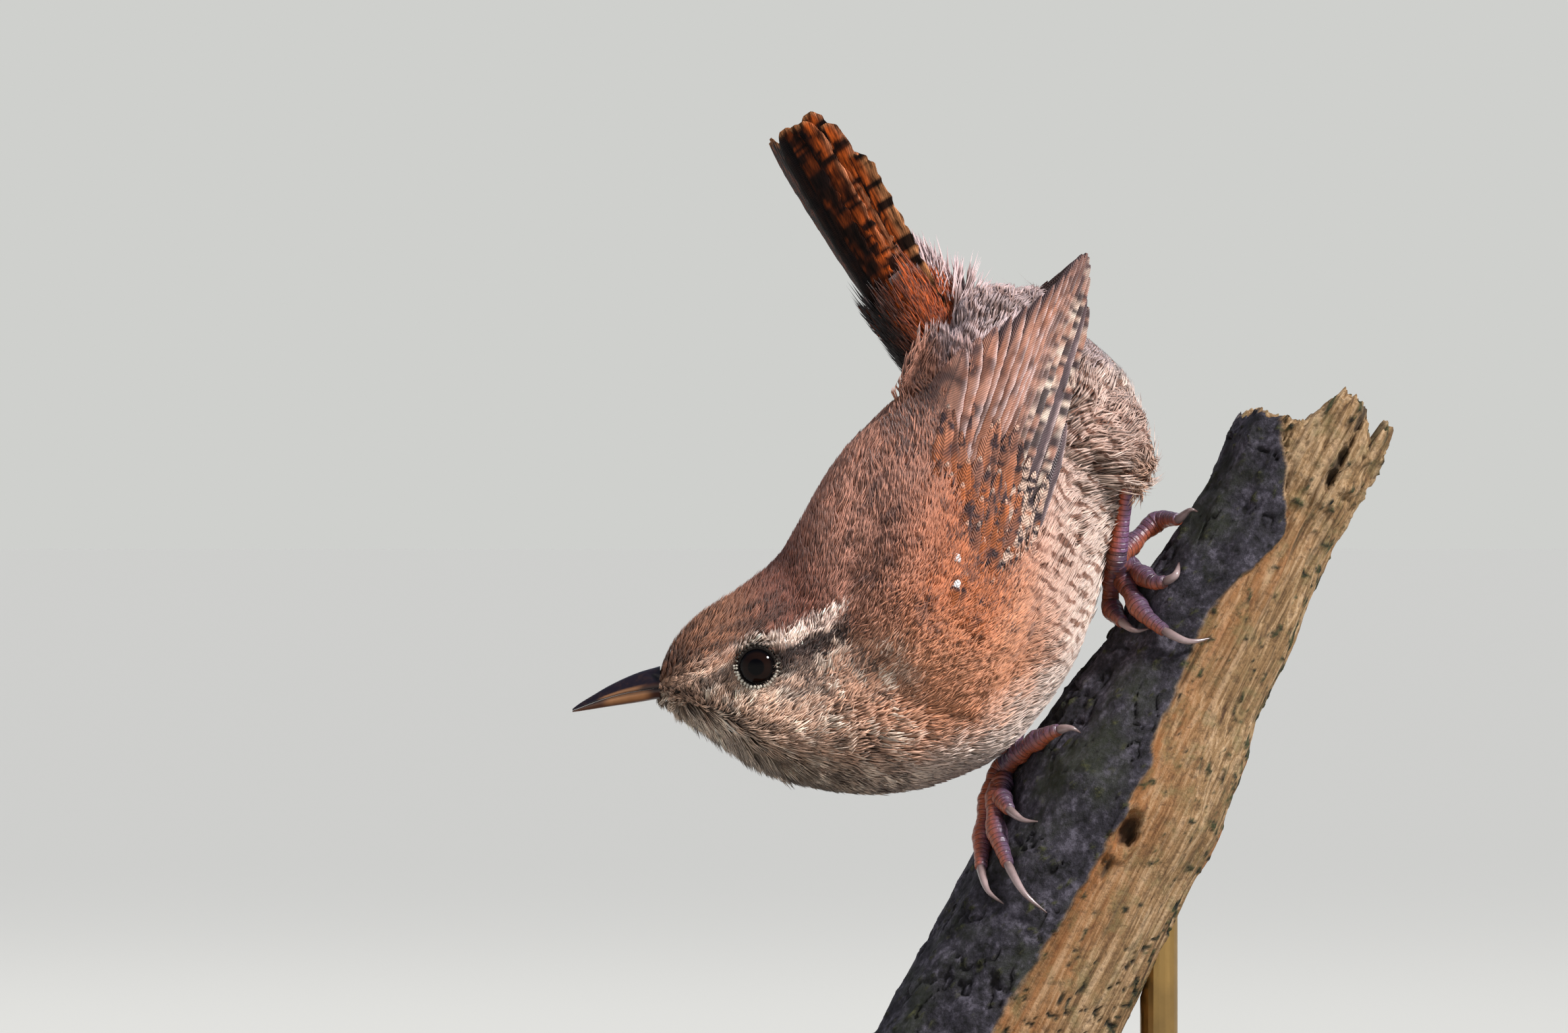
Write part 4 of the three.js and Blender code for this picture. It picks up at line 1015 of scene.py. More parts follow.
def paint_flight(spec, t, q, chart):
    """Flight feathers. Two of the outer primaries are hatched grey, the others carry buff-white
    patches between dark ones on the outer web, and the rest are brown with faint bars. All carry a
    painted glint along the outer edge, strongest on the hatched primaries, the secondaries and the
    tertials."""
    colour, kind, seed, rank = (spec[key] for key in ("colour", "kind", "seed", "rank"))
    along = chart[:, 1]
    length = along.max()
    outer = smooth(0.02, 0.12, -q)
    bars = stepped(t, length, FLIGHT_BARS[kind], seed, 0.52, 0.8)
    speck = lattice_noise(chart[:, [0, 1, 1]] / 0.4 + seed, 6)[:, None]
    smudge = smooth(-0.2, 0.6, noise(9, along / 1.7, seed * 5.1, q))
    web = blend(colour["wing"], colour["wing_inner"], smudge)
    hatched = kind == "primary" and rank in HATCHED
    tone = Paint(colour, colour["hatch" if hatched else "wing_inner"] * np.ones((len(t), 3)))
    if hatched:
        tone.over("wing_dark", 0.4 * smudge)
    elif kind == "primary":
        fleck = smooth(-0.5, 0.3, noise(67, along / 0.8, q, seed * 2.9))
        patch = blend(colour["wing"], colour["wing_pale"], fleck * (1 - 0.4 * smudge))
        patch = blend(patch, colour["wing_dark"], 0.95 * bars)
        plain = blend(web, colour["wing_dark"], 0.5 * bars)
        patch = blend(patch, plain, np.clip((rank - 4.2) / 2.0, 0, 1) * np.ones_like(t))
        tone.over(patch, outer)
    else:
        web = web * (1.15 if kind == "secondary" else 1.45)
        rufous = smooth(-0.1, 0.5, noise(71, along / 2.4, seed * 3.9, q))
        web = blend(web, colour["covert"], 0.4 * rufous)
        web = blend(web, colour["wing_dark"], {"secondary": 0.35, "tertial": 0.6}[kind] * bars * smudge)
        tone.over(web, np.maximum(outer, 0.3 if kind == "secondary" else 0.7))
    tone.over("wing_tip", smooth(0.86, 1.0, t) * 0.5)
    tone.over("wing_dark", 0.6 * shaft_share(q))
    # Painted glint: a broken light line along each feather's outer edge.
    bright = 0.85 if rank in HATCHED or kind != "primary" else 0.3
    line = smooth(-0.74, -0.92, q) * smooth(0.1, 0.3, t) * bright
    glint = np.clip(0.6 + 1.1 * noise(19, along / 0.9, seed * 1.3), 0, 1)
    tone.over("wing_edge", line * glint)
    tone.over("wing_dark", 0.45 * smooth(-0.5, -0.1, q) * (kind == "secondary"))
    tone.over("wing_dark", 0.7 * smooth(0.15, 0.4, q) * (kind != "tertial"))
    return tone.done(1 + 0.12 * speck)


def paint_covert(spec, t, q, chart):
    """Coverts: rufous webs with black spots towards the tip and pale ends. Those of the lower edge
    are buff with dark blotches, and two end in a white spot below a black one."""
    colour, seed, kind = spec["colour"], spec["seed"], spec["kind"]
    along = chart[:, 1]
    length = along.max()
    speck = lattice_noise(chart[:, [0, 1, 1]] / 0.35 + seed, 6)[:, None]
    y = (1 - t) * length
    mark = noise(15, y / 0.7, q * 1.1, seed * 3.3)
    if kind == "white":
        tone = Paint(colour, colour["covert"] * np.ones((len(t), 3)))
        tone.over("wing_dark", 0.8 * smooth(1.7, 1.2, y + 0.4 * mark))
        tone.over("spot", smooth(0.85, 0.65, y + 0.2 * q * mark))
        return tone.done(1)
    if kind == "edge":
        outer = 0.9 * smooth(0.3, 0.6, t + 0.5 * mark)
        tone = Paint(colour, blend(colour["covert"], colour["covert_tip"], outer))
        bars = stepped(t, length, 2.3, seed, 0.5, 1.6)
        tone.over("wing_dark", bars * smooth(-0.6, -0.2, mark))
        return tone.done(1 + 0.12 * speck)
    tone = Paint(colour, blend(colour["wing_deep"], colour["covert"], smooth(-0.5, 0.3, t)))
    if kind == "greater":
        tone.over("wing", 0.6 * smooth(0.5, 0.9, t))
    shade = noise(53, along / 2.5 + spec["root"][0] / 2.5, q * 0.3 + seed * 0.7)
    tone.over("wing_inner", np.clip(0.25 + 1.2 * shade, 0, 0.7))
    spot = smooth(0.12, 0.28, mark + 0.35 * speck[:, 0]) * smooth(6.0, 4.0, y)
    tone.over("wing_dark", spot * (0.95 if seed % 3 else 0.6))
    end = smooth(0.7, 0.3, y) * smooth(1.0, 0.7, np.abs(q)) * (seed % 2)
    tone.over("covert_tip", 0.5 * end)
    tone.over("wing_deep", 0.4 * shaft_share(q))
    barbs = noise(25, y / 1.2 + np.abs(q) * 0.6, q * 7, seed)[:, None]
    own = 0.82 + 0.36 * np.sin(seed * 4.7) ** 2
    return tone.done((1 + 0.14 * speck + 0.2 * barbs) * own)


# Outermost primary inwards: root (u, v), tip (u, v), half width and bow.
PRIMARIES = [
    ((3, -0.9), (20.5, -1.4), 0.62, -0.2),
    ((3, 0.2), (32.5, -0.75), 0.95, 0.1),
    ((3, 1.4), (33.2, -0.35), 0.95, 0.35),
    ((3.4, 2.4), (35.4, -0.15), 1.0, 0.6),
    ((3.8, 3.1), (36.6, 0.1), 1.0, 0.8),
    ((4.2, 3.7), (37.3, 0.35), 1.0, 1.0),
    ((4.6, 4.2), (37.6, 0.6), 1.0, 1.1),
    ((5, 4.7), (37.3, 0.95), 1.0, 1.1),
    ((5.4, 5.1), (36.6, 1.35), 1.0, 1.1),
]
# Ends of six secondaries and three tertials along the wing's upper rim.
RIM_TIPS = [
    (35.6, 1.7), (34.6, 2.2), (33.3, 2.9), (31.8, 3.8), (30.2, 4.9), (28.6, 6.1), (27.0, 7.3), (25.4, 8.5),
    (23.8, 9.5),
]
SECONDARIES = 6
# Rows of coverts: number, first and last root (u, v), first and last tip (u, v), stray of the tips,
# half width, lift and kind. Primary coverts and alula lie along the lower edge.
COVERT_ROWS = [
    (6, (0.5, -0.9), (3.0, 2.4), (14.0, -1.0), (16.6, 2.0), 1.0, 0.75, 0.42, "edge"),
    (13, (2.0, 2.0), (4.5, 9.0), (16.0, 2.2), (18.4, 9.4), 1.6, 1.0, 0.40, "greater"),
    (5, (1.0, -1.0), (0.2, 1.4), (9.6, -1.0), (8.0, 1.3), 1.1, 0.6, 0.58, "edge"),
    (12, (1.0, 1.4), (3.2, 8.6), (11.6, 1.6), (13.6, 8.8), 1.3, 0.9, 0.54, "median"),
    (11, (-1.6, 0.8), (0.8, 7.8), (8.2, 1.3), (10.4, 8.0), 1.1, 0.85, 0.66, "median"),
    (10, (-3.6, 0.6), (-1.6, 7.0), (5.2, 1.0), (7.6, 7.2), 1.0, 0.8, 0.78, "median"),
    (6, (-3.6, 1.4), (-2.6, 6.4), (2.9, 1.3), (4.6, 6.2), 0.8, 0.8, 0.86, "median"),
]


def numbered(specs, colour, **facts):
    """The specs with the palette, a seed each and the facts that all of them share."""
    for i, spec in enumerate(specs):
        spec.update(colour=colour, seed=i + 1, **facts)
    return specs


def flight_specs(colour):
    """Primaries from the outermost inwards, then secondaries, then tertials, each over the next."""
    specs = [dict(kind="primary", root=root, tip=tip, half=half, bow=bow, rows=60, rank=i, lift=0.15,
                  closing=0.62) for i, (root, tip, half, bow) in enumerate(PRIMARIES)]
    for i, tip in enumerate(RIM_TIPS):
        k = i / (len(RIM_TIPS) - 1)
        kind, half = ("secondary", 1.15) if i < SECONDARIES else ("tertial", 1.6)
        root = (5.8 + 3 * k, 5.5 + 3.6 * k)
        specs.append(dict(kind=kind, root=root, tip=tip, half=half, bow=1.0 - 0.5 * k, rows=56, rank=i,
                          lift=0.18, closing=0.45, point=1.3))
    return numbered(specs, colour, tilt=0.34, waver=0.07, camber=0.06)


def covert_specs(colour):
    """Coverts row by row from the flight feathers to the front, then the two with white spots."""
    specs = []
    rng = np.random.default_rng(17)
    for count, *corners, stray, half, lift, kind in COVERT_ROWS:
        first_root, last_root, first_tip, last_tip = np.array(corners, float)
        for i in range(count):
            k = i / (count - 1)
            root = first_root + (last_root - first_root) * k
            tip = first_tip + (last_tip - first_tip) * k + rng.normal(0, stray, 2) * (1.0, 0.35)
            specs.append(dict(kind=kind, root=root, tip=tip, half=half, lift=lift, rows=30, tilt=0.2,
                              closing=0.4, point=1.25, camber=0.03, columns=COVERT_COLUMNS))
    for u, v in SPOTTED:
        specs.append(dict(kind="white", root=(u - 3.4, v), tip=(u, v), half=0.46, lift=1.0, rows=26,
                          tilt=0.1, closing=0.6))
    return numbered(specs, colour, nicks=0.3)


# Outline of a folded wing: u, lower v, upper v.
WING_OUTLINE = np.array([
    (-3.4, 1.2, 8.2), (-1, -0.3, 8.5), (4, -0.9, 9.1), (10, -1.1, 9.8), (16, -1.2, 9.8), (23, -1.3, 9.2),
    (30, -1.4, 4.4), (37.6, -1.4, 0.6),
])


def plane_place(points):
    """The torso's middle plane under points: x and z there and the distance to the left of it."""
    drift = (points - BODY_AXIS) @ UPWARD
    side = -np.cos(BODY_LEAN) * (points[..., 1] + np.tan(BODY_LEAN) * drift)
    x = points[..., 0] + np.sin(BODY_LEAN) * UPWARD[0] * side
    return x, points[..., 2] + np.sin(BODY_LEAN) * UPWARD[2] * side, side


def under_wing(points, margin):
    """True for points well under a folded wing."""
    x, z, side = plane_place(points)
    hidden = np.zeros(side.shape, bool)
    for wing in WINGS.values():
        u, v = wing.above(x, z)
        low = np.interp(u, *WING_OUTLINE.T[:2])
        high = np.interp(u, WING_OUTLINE[:, 0], WING_OUTLINE[:, 2])
        along = (u > WING_OUTLINE[0, 0] + margin) & (u < WING_OUTLINE[-1, 0] - margin)
        hidden |= (side * wing.sign > 0) & along & (v > low + margin) & (v < high - margin)
    return hidden


# Tail, repeated from the part's source


TAIL_ROOT = np.array([-5.3, 0.4, 92.8])
TAIL_SLOPE, TAIL_ROLL, TAIL_TENT = np.radians([127.5, 35, 18])
TAIL_LENGTH, TAIL_BOW = 31.6, 0.0035
TAIL_RUN = np.array([np.cos(TAIL_SLOPE), 0, np.sin(TAIL_SLOPE)])
TAIL_OVER = np.array([-TAIL_RUN[2] * np.cos(TAIL_ROLL), -np.sin(TAIL_ROLL),
                      TAIL_RUN[0] * np.cos(TAIL_ROLL)])
TAIL_LEFT = unit(np.cross(TAIL_OVER, TAIL_RUN))
TAIL_LEFT = TAIL_LEFT * -np.sign(TAIL_LEFT[1])
TAIL_PORTIONS = {1: (0.99, 0.99, 0.99, 0.985, 0.92, 0.79), -1: (0.99, 0.99, 0.99, 0.99, 0.99, 0.985)}
# Step from one feather's tip to the next across the tail, by side.
TAIL_SPREAD = {1: 1.0, -1: -1.12}
# Where the lit left part of the tail starts, in millimetres to the left of its middle.
LIT_EDGE = np.array([(0, 1.4), (6, 2.2), (12, 3.2), (18, 3.9), (24, 4.2), (31, 3.2)])


def tail_place(t, a, h):
    """Point t along the tail, a to its left and h over it. The sheet falls away on both sides of its
    ridge like a tent and sags towards the tip."""
    t, a, h = (np.asarray(value, float)[..., None] for value in np.broadcast_arrays(t, a, h))
    fall = np.tan(TAIL_TENT) * (np.sqrt(a * a + 1) - 1)
    return TAIL_ROOT + TAIL_RUN * t + TAIL_LEFT * a + TAIL_OVER * (h - TAIL_BOW * t * t - fall)


# The soft bolster under the tail: place along, half width, depth below.
BOLSTER = np.array([
    (-7, 3.8, 6.8), (-3, 4.4, 7.6), (1, 4.6, 7.6), (4, 5.0, 7.2), (7, 5.3, 6.4), (9.5, 5.5, 5.8),
    (12, 5.5, 5.2), (15, 5.2, 4.2), (19, 3.4, 1.4),
])


def under_tail(t, angle, extra):
    """The rounded bolster of soft coverts round the tail's root, deep below and shallow above."""
    wide = np.interp(t, *BOLSTER.T[:2]) + extra
    low = np.interp(t, BOLSTER[:, 0], BOLSTER[:, 2]) + extra
    tall = np.where(np.sin(angle) > 0, 1.5 + extra, low)
    a = wide * np.cos(angle)
    return tail_place(t, a, -0.9 - 0.22 * np.maximum(np.abs(a) - 3, 0) + tall * np.sin(angle))


def tail_specs(colour):
    """Six tail feathers on each side, the middle pair on top, then the long coverts over their roots
    and the pale ones below."""
    specs = []
    rng = np.random.default_rng(37)
    for side in (1, -1):
        for i, portion in enumerate(TAIL_PORTIONS[side]):
            tip = (TAIL_LENGTH * portion + rng.normal(0, 0.25), side * 0.9 + TAIL_SPREAD[side] * i)
            root, lift = (0, side * (0.5 + 0.45 * i)), -0.27 * i - 0.12 * (side < 0)
            specs.append(dict(kind="tail", root=root, tip=tip, half=1.9, bow=side * 0.45, lift=lift, sink=0,
                              tilt=side * 0.16, closing=0.88, outer=side, rank=i, waver=0.12, nicks=0.14,
                              rows=72))
    for i in range(17):
        a = 3.4 * np.sin(i * 2.4)
        root, tip = (-2.0, a * 0.6), (8.6 + 4.2 * rng.random(), a * 1.15)
        lift = 0.75 - 0.1 * abs(a) + 0.15 * rng.random()
        specs.append(dict(kind="over", root=root, tip=tip, half=0.62, lift=lift, tilt=0.06 * a, rows=22,
                          nicks=0.25, point=1.6, closing=0.3, columns=COVERT_COLUMNS))
    for i in range(11):
        a, off = (i - 5) * 0.8, abs(i - 5)
        root, tip = (-1.0, a * 0.6), (13.8 - 0.6 * off + 1.6 * rng.random(), a * 1.2)
        lift = -2.5 - 0.35 * (i % 2) + 0.09 * off
        specs.append(dict(kind="under", root=root, tip=tip, half=1.05, lift=lift, sink=-1.2, tilt=0, rows=30,
                          nicks=0.25, point=1.5, closing=0.4, columns=COVERT_COLUMNS))
    return numbered(specs, colour)


def paint_tail(spec, t, q, chart):
    """Tail feathers: chocolate darkened to near black as painted shade on the right half and the inner
    webs; on the left, painted sunlight shows bright rust with broken black bars, and buff on the
    outermost. The coverts above are rufous brown, those below whitish with dark marks."""
    colour, seed, kind = spec["colour"], spec["seed"], spec["kind"]
    along = chart[:, 1]
    length = along.max()
    speck = lattice_noise(chart[:, [0, 1, 1]] / 0.5 + seed, 6)[:, None]
    if kind == "under":
        bars = stepped(t, length, 3.0, seed, 0.46, 0.3)
        marks = 0.75 * bars * smooth(0.95, 0.5, np.abs(q))
        tone = Paint(colour, blend(colour["undertail"], colour["undertail_mark"], marks))
        tone.over("vent", smooth(0.88, 1.0, t))
        return tone.done(1 + 0.10 * speck)
    if kind == "over":
        bars = 0.75 * stepped(t, length, 2.1, seed, 0.4, 0.5)
        ground = colour["tail_web"] * (0.8 + 0.3 * np.sin(seed))
        tone = Paint(colour, blend(ground, colour["tail_bar"], bars))
        tone.over("tail_bar", 0.4 * smooth(0.5, 0.0, t))
        return tone.done(1 + 0.12 * speck)
    outer = smooth(0.0, 0.12, q * spec["outer"])
    start, end = spec["root"][1], spec["tip"][1]
    aside = start + (end - start) * t + chart[:, 0] + spec["bow"] * np.sin(np.pi * t)
    bars = stepped(t, length, 2.0, 0.5 * spec["rank"] + 3 * outer.round(), 0.5, 0.7)
    broken = smooth(-0.3, 0.1, noise(27, along / 1.1, q * 1.4, seed * 3.7))
    web = colour["tail_web"] * np.ones((len(t), 3))
    web = blend(web, colour["tail_edge"], 0.6 * smooth(0.5, 0.9, np.abs(q)) * smooth(3.5, 5, aside))
    web = blend(web, colour["tail_tip"], (spec["rank"] == 5) * smooth(0.2, 0.7, outer * np.abs(q)))
    streaks = noise(29, along / 4.0 - np.abs(q) * 0.8, q * 7, seed)
    # Painted light: sunlight on the left part of the tail by the lit mask, and painted shade by the dark
    # tone, halved on the right-hand feathers, on the rest and the inner webs.
    edge = np.interp(t * length, *LIT_EDGE.T[:2])
    lit = smooth(-0.9, 0.7, aside - edge + 0.9 * streaks)
    dark_and_shade = colour["tail_top"] * (1 + 0.3 * speck) * (1.0 if spec["outer"] > 0 else 0.5)
    dark_and_shade = blend(dark_and_shade, colour["tail_web"], 0.22 * outer * smooth(0.0, 0.4, broken))
    tone = Paint(colour, blend(dark_and_shade, web, lit * (0.25 + 0.75 * outer)))
    tone.over("tail_bar", 0.97 * bars * broken)
    tone.over("tail_bar", 0.7 * shaft_share(q))
    tone.over("tail_tip", 0.75 * smooth(0.975, 0.995, t))
    return tone.done(1 + 0.12 * speck + 0.45 * streaks[:, None])


# Skin, coat and limbs


COAT_STATIONS = np.array([0, 1, 2, 3, 4.4, 6, 8, 10, 12, 13])
LENGTH_ABOVE = np.array([0.8, 1.1, 1.4, 1.8, 2.6, 3.6, 4.2, 4.6, 4.8, 4.5])
LENGTH_BELOW = np.array([0.9, 1.2, 1.8, 2.4, 3.2, 4.0, 4.8, 5.6, 6.2, 6.5])


def coat_depth(s, deep):
    """Depth of the coat: thin at the bill, full from the breast on."""
    return deep * np.interp(s, [0, 2, 6], [0.3, 0.72, 1.0])


def coat_length(s, angle):
    """Length of the body feathers, which is shorter above than below."""
    over = smooth(-0.3, 0.5, np.sin(angle))
    above, below = (np.interp(s, COAT_STATIONS, lengths) for lengths in (LENGTH_ABOVE, LENGTH_BELOW))
    return above * over + below * (1 - over)


class Limb:
    """Round sections along a smooth path, continued straight on past its ends."""

    COUNT, THINNEST = 96, 0.12

    def __init__(self, knots, radii):
        self.line = path_points(knots, self.COUNT)
        self.ahead, self.side, self.rise = path_frame(self.line)
        self.radius = spread(radii, self.COUNT)
        self.length = np.linalg.norm(np.diff(self.line, axis=0), axis=1).sum()

    def point(self, t, angle, extra=0.0):
        held = np.clip(t, 0, 1)
        at = held * (self.COUNT - 1)
        i = np.minimum(np.floor(at).astype(int), self.COUNT - 2)
        f = (at - i)[..., None]
        line, ahead, side, rise, radius = (
            a[i] * (1 - f) + a[i + 1] * f
            for a in (self.line, self.ahead, self.side, self.rise, self.radius[:, None]))
        reach = np.maximum(radius[..., 0] + extra, self.THINNEST)[..., None]
        beyond = ((t - held) * self.length)[..., None]
        round_ = side * np.cos(angle)[..., None] + rise * np.sin(angle)[..., None]
        return line + ahead * beyond + round_ * reach

    def gap(self, points):
        """Distance of points from the limb's round sections."""
        return np.min(np.linalg.norm(points[:, None] - self.line, axis=2) - self.radius, axis=1)


LEGS = {
    "left": {
        "thigh": [(9, -5.5, 88.5), (12.8, -6.8, 87.6), (15.0, -6.2, 85.6), (15.15, -5.4, 83.7)],
        "girth": [6.0, 5.4, 4.2, 2.4, 1.4],
        "joint": (13.9, -1.8, 75.3),
        "toes": [
            ([(16.2, 76.6), (18.3, 78.3), (20.4, 78.5)], [(21.6, 79.5), (22.4, 79.3)]),
            ([(15.9, 73.3), (17.6, 71.9), (18.9, 71.9)], [(20.0, 72.6), (20.4, 73.9)]),
            ([(14.8, 71.6), (16.4, 68.8), (18.8, 66.7)], [(21.2, 65.6), (23.6, 65.9)]),
            ([(13.4, 72.3), (13.3, 69.4), (14.4, 67.6)], [(15.7, 66.7), (17.2, 66.9)]),
        ],
    },
    "right": {
        "thigh": [(1.5, 8.5, 77.0), (4.4, 11.2, 72.5), (6.0, 12.4, 69.0), (6.5, 12.6, 66.6)],
        "girth": [6.2, 5.4, 4.2, 2.4, 1.4],
        "joint": (2.5, 4.6, 53.4),
        "toes": [
            ([(4.4, 54.6), (6.2, 55.6), (7.6, 56.2)], [(8.9, 56.4), (9.9, 55.9)]),
            ([(1.9, 51.2), (1.6, 49.2), (2.4, 47.7)], [(3.8, 46.7), (5.4, 46.5)]),
            ([(1.2, 50.6), (0.9, 46.4), (2.2, 42.0)], [(3.9, 39.0), (6.3, 36.9)]),
            ([(0.5, 50.4), (-0.2, 46.2), (-0.6, 41.6)], [(0.1, 39.2), (1.8, 37.8)]),
        ],
    },
}


def leg_line(leg):
    """The ankle, the foot's joint and the unit direction from one to the other."""
    ankle, joint = np.array(leg["thigh"][-1], float), np.array(leg["joint"], float)
    return ankle, joint, unit(joint - ankle)


def thigh_limb(leg, extra=0.0):
    """The feathered thigh as a limb, ending in a cuff in line with the shank."""
    ankle, _, down = leg_line(leg)
    knots = [*leg["thigh"][:-1], ankle - down * 1.3, ankle]
    return Limb(knots, [r + extra for r in leg["girth"]])


def inside_body(points, extra):
    """True for points inside the torso swollen by extra."""
    x, z, side = plane_place(points)
    return half_width(x, z, extra) > np.abs(side)


# Eyes and bill, repeated from the part's source


EYE_X, EYE_Z = -25.0, 63.5
EYE_BALL, EYE_OPENING = 2.45, 1.93


def head_axes():
    """The head's own left, up and forward directions at station 3."""
    v = station_values(np.array(3.0))
    rise = in_plane(v[0], v[1]) - in_plane(v[2], v[3])
    lean = np.radians(v[6])
    rise[1] = -np.tan(lean) * (rise @ UPWARD)
    left, up = sideways(lean), unit(rise)
    ahead = unit(np.cross(left, up))
    return left, up, ahead * -np.sign(ahead[0])


def eye_place(sign):
    """Centre of an eyeball, the way it looks and the depth of its rim; sign 1 is the left eye."""
    left, up, ahead = head_axes()
    look = unit(left * sign + ahead * np.tan(np.radians(14)) + up * np.tan(np.radians(4)))
    depth = np.sqrt(EYE_BALL ** 2 - EYE_OPENING ** 2)
    width = float(half_width(np.array(EYE_X), np.array(EYE_Z)))
    centre = np.array([EYE_X, HEAD_Y, EYE_Z]) + left * sign * width + look * (0.25 - depth)
    return centre, look, depth


BILL = np.array([
    (-34.6, 62.95, 60.62, 59.45, 1.75), (-35.1, 62.8, 60.55, 59.4, 1.65), (-36.8, 62.3, 60.3, 59.1, 1.35),
    (-38.5, 61.6, 60.0, 58.85, 1.1), (-40.2, 60.75, 59.55, 58.6, 0.85), (-41.8, 59.8, 59.0, 58.35, 0.6),
    (-43.1, 59.0, 58.5, 58.15, 0.38), (-43.9, 58.4, 58.22, 58.05, 0.14),
])
NOSTRIL = np.array([-35.0, 61.75])


BILL_ROWS, BILL_COLUMNS = 90, 24


def mandible(edge, way):
    """Half a bill: half-round sections on a flat face along the table of its outline. A hollow
    with a soft rim is pressed into the side for the nostril."""
    place = np.linspace(0, len(BILL) - 1, BILL_ROWS)
    x, culmen, mouth, lower, half = cubic(BILL, place).T
    flat = mouth + way * 0.015
    outer = {"culmen": culmen, "lower": lower}[edge]
    tall = np.maximum(0.04, np.abs(outer - flat))
    angle = np.linspace(0, np.pi, BILL_COLUMNS)
    round_ = np.sin(angle) ** 0.85
    lift = tall[:, None] * round_ * way
    y = half[:, None] * np.cos(angle) * (1 - 0.10 * np.sin(2 * angle) ** 2)
    z = flat[:, None] + lift
    points = np.stack([x[:, None] + 0 * y, HEAD_Y + y, z], -1)
    hole = np.exp(-(((points[..., 0] - NOSTRIL[0]) - 0.4 * (z - NOSTRIL[1])) / 0.85) ** 2
                  - ((z - NOSTRIL[1] + 0.42 * (points[..., 0] - NOSTRIL[0])) / 0.26) ** 2)
    hole = hole * (way > 0)
    points[..., 1] -= np.sign(y) * 0.32 * hole
    back = x[:, None] * np.ones(BILL_COLUMNS)
    # The dark share along the mouth line is painted shade between the halves, and the nostril's hollow gets
    # painted shade below.
    if way > 0:
        pale = smooth(0.30, 0.10, round_) * smooth(-41.5, -40.2, back) * smooth(-35.6, -37.0, back)
        root = smooth(0.34, 0.16, round_) * smooth(-37.6, -36.0, back)
        dark = smooth(0.14, 0.05, round_) * 0.9
    else:
        pale = smooth(-41.0, -39.8, back) * smooth(-34.6, -36.6, back) * smooth(1.0, 0.5, round_)
        root = smooth(-36.4, -34.8, back)
        dark = smooth(0.30, 0.10, round_) * 0.9
    points, faces = closed(points)
    tint = np.stack([pale, root, np.maximum(smooth(0.25, 0.7, hole), dark)], -1).reshape(-1, 3)
    tint = np.concatenate([tint, [[0, 1, 0], [0, 0, 0]]])
    return points, faces, tint


def ellipsoids(centres, axes, rows, columns):
    """Small closed ellipsoids, each with three axes given as vectors."""
    polar = np.linspace(0, np.pi, rows + 2)[1:-1]
    around = turns(columns)
    shape = np.stack([np.sin(polar)[:, None] * np.cos(around), np.sin(polar)[:, None] * np.sin(around),
                      np.cos(polar)[:, None] * np.ones(columns)], -1).reshape(-1, 3)
    shape = np.concatenate([shape, [[0, 0, 1], [0, 0, -1]]])
    points = centres[:, None] + np.einsum("pk,nkj->npj", shape, axes)
    sides, first, last = ring_faces(rows, columns)
    shift = (np.arange(len(centres)) * len(shape))[:, None, None]
    faces = [(sides + shift).reshape(-1, 4), (np.concatenate([first, last]) + shift).reshape(-1, 3)]
    points = points.reshape(-1, 3)
    return points, outward(points, faces), len(shape)


def side_axes(look):
    """Two directions across a look: to the right and up as seen from outside."""
    right = unit(np.cross([0, 0, 1.0], look))
    return right, np.cross(look, right)


# Branch, repeated from the part's source


BRANCH_FOOT = np.array([-3.4, 4, 14])
BRANCH_RUN = np.array([39.8, 0, 76.6])
BRANCH_WAY = unit(BRANCH_RUN)
BRANCH_LEFT = np.array([-BRANCH_WAY[2], 0, BRANCH_WAY[0]])
BRANCH_TILT = np.arctan2(BRANCH_WAY[0], BRANCH_WAY[2])
BRANCH_LONG = np.linalg.norm(BRANCH_RUN)
BRANCH_RADII = np.array([11.8, 11.7, 11.5, 11.3, 11.1, 10.8, 11.3, 10.3, 9.0, 8.8, 8.0, 7.3, 7.9, 7.8])
BARK_STEP = 0.6
# Edge of the bark over the split wood: share along the branch, degrees round.
BARK_EDGE = np.array([
    (0, 95), (0.208, 95), (0.255, 90.8), (0.332, 90), (0.393, 89), (0.479, 86.4), (0.549, 91.6),
    (0.646, 96.7), (0.703, 98.9), (0.784, 84.3), (0.836, 72.8), (0.908, 97.7), (0.967, 118.3), (1, 124),
])
# Pits of the wood: middle (x, z), half size across and along the branch, depth.
PITS = [
    (14.9, 45.4, 1.1, 2.3, 1.6), (36.8, 83.6, 0.55, 2.6, 1.3), (38.6, 87.2, 0.5, 1.3, 0.8),
    (12.6, 41.6, 0.4, 1.6, 0.5),
]
# Broken top: height over its plane against the distance to the left of the branch's middle.
TOP_PROFILE = np.array([
    (-8.2, -1.0), (-7.4, 2.3), (-6.6, 2.2), (-5.9, -0.4), (-5.0, 1.2), (-3.2, 2.8), (-0.6, 3.0),
    (0.6, 0.4), (1.6, -1.7), (3.0, -2.0), (4.8, -2.2), (6.4, -2.4), (7.4, -3.8), (8.2, -5.5),
])


def branch_radius(t):
    """Plain radius of the branch at a share t of its length."""
    return np.interp(t, np.linspace(0, 1, len(BRANCH_RADII)), BRANCH_RADII)


def on_branch(x, z, lift):
    """Point on the near surface of the branch in front of (x, z), or beside it out of sight."""
    off = np.array([x - BRANCH_FOOT[0], 0, z - BRANCH_FOOT[2]])
    aside = off @ BRANCH_LEFT
    reach = branch_radius(off @ BRANCH_WAY / BRANCH_LONG) + BARK_STEP / 2 + lift
    return np.array([x, BRANCH_FOOT[1] - np.sqrt(max(0, reach * reach - aside * aside)), z])


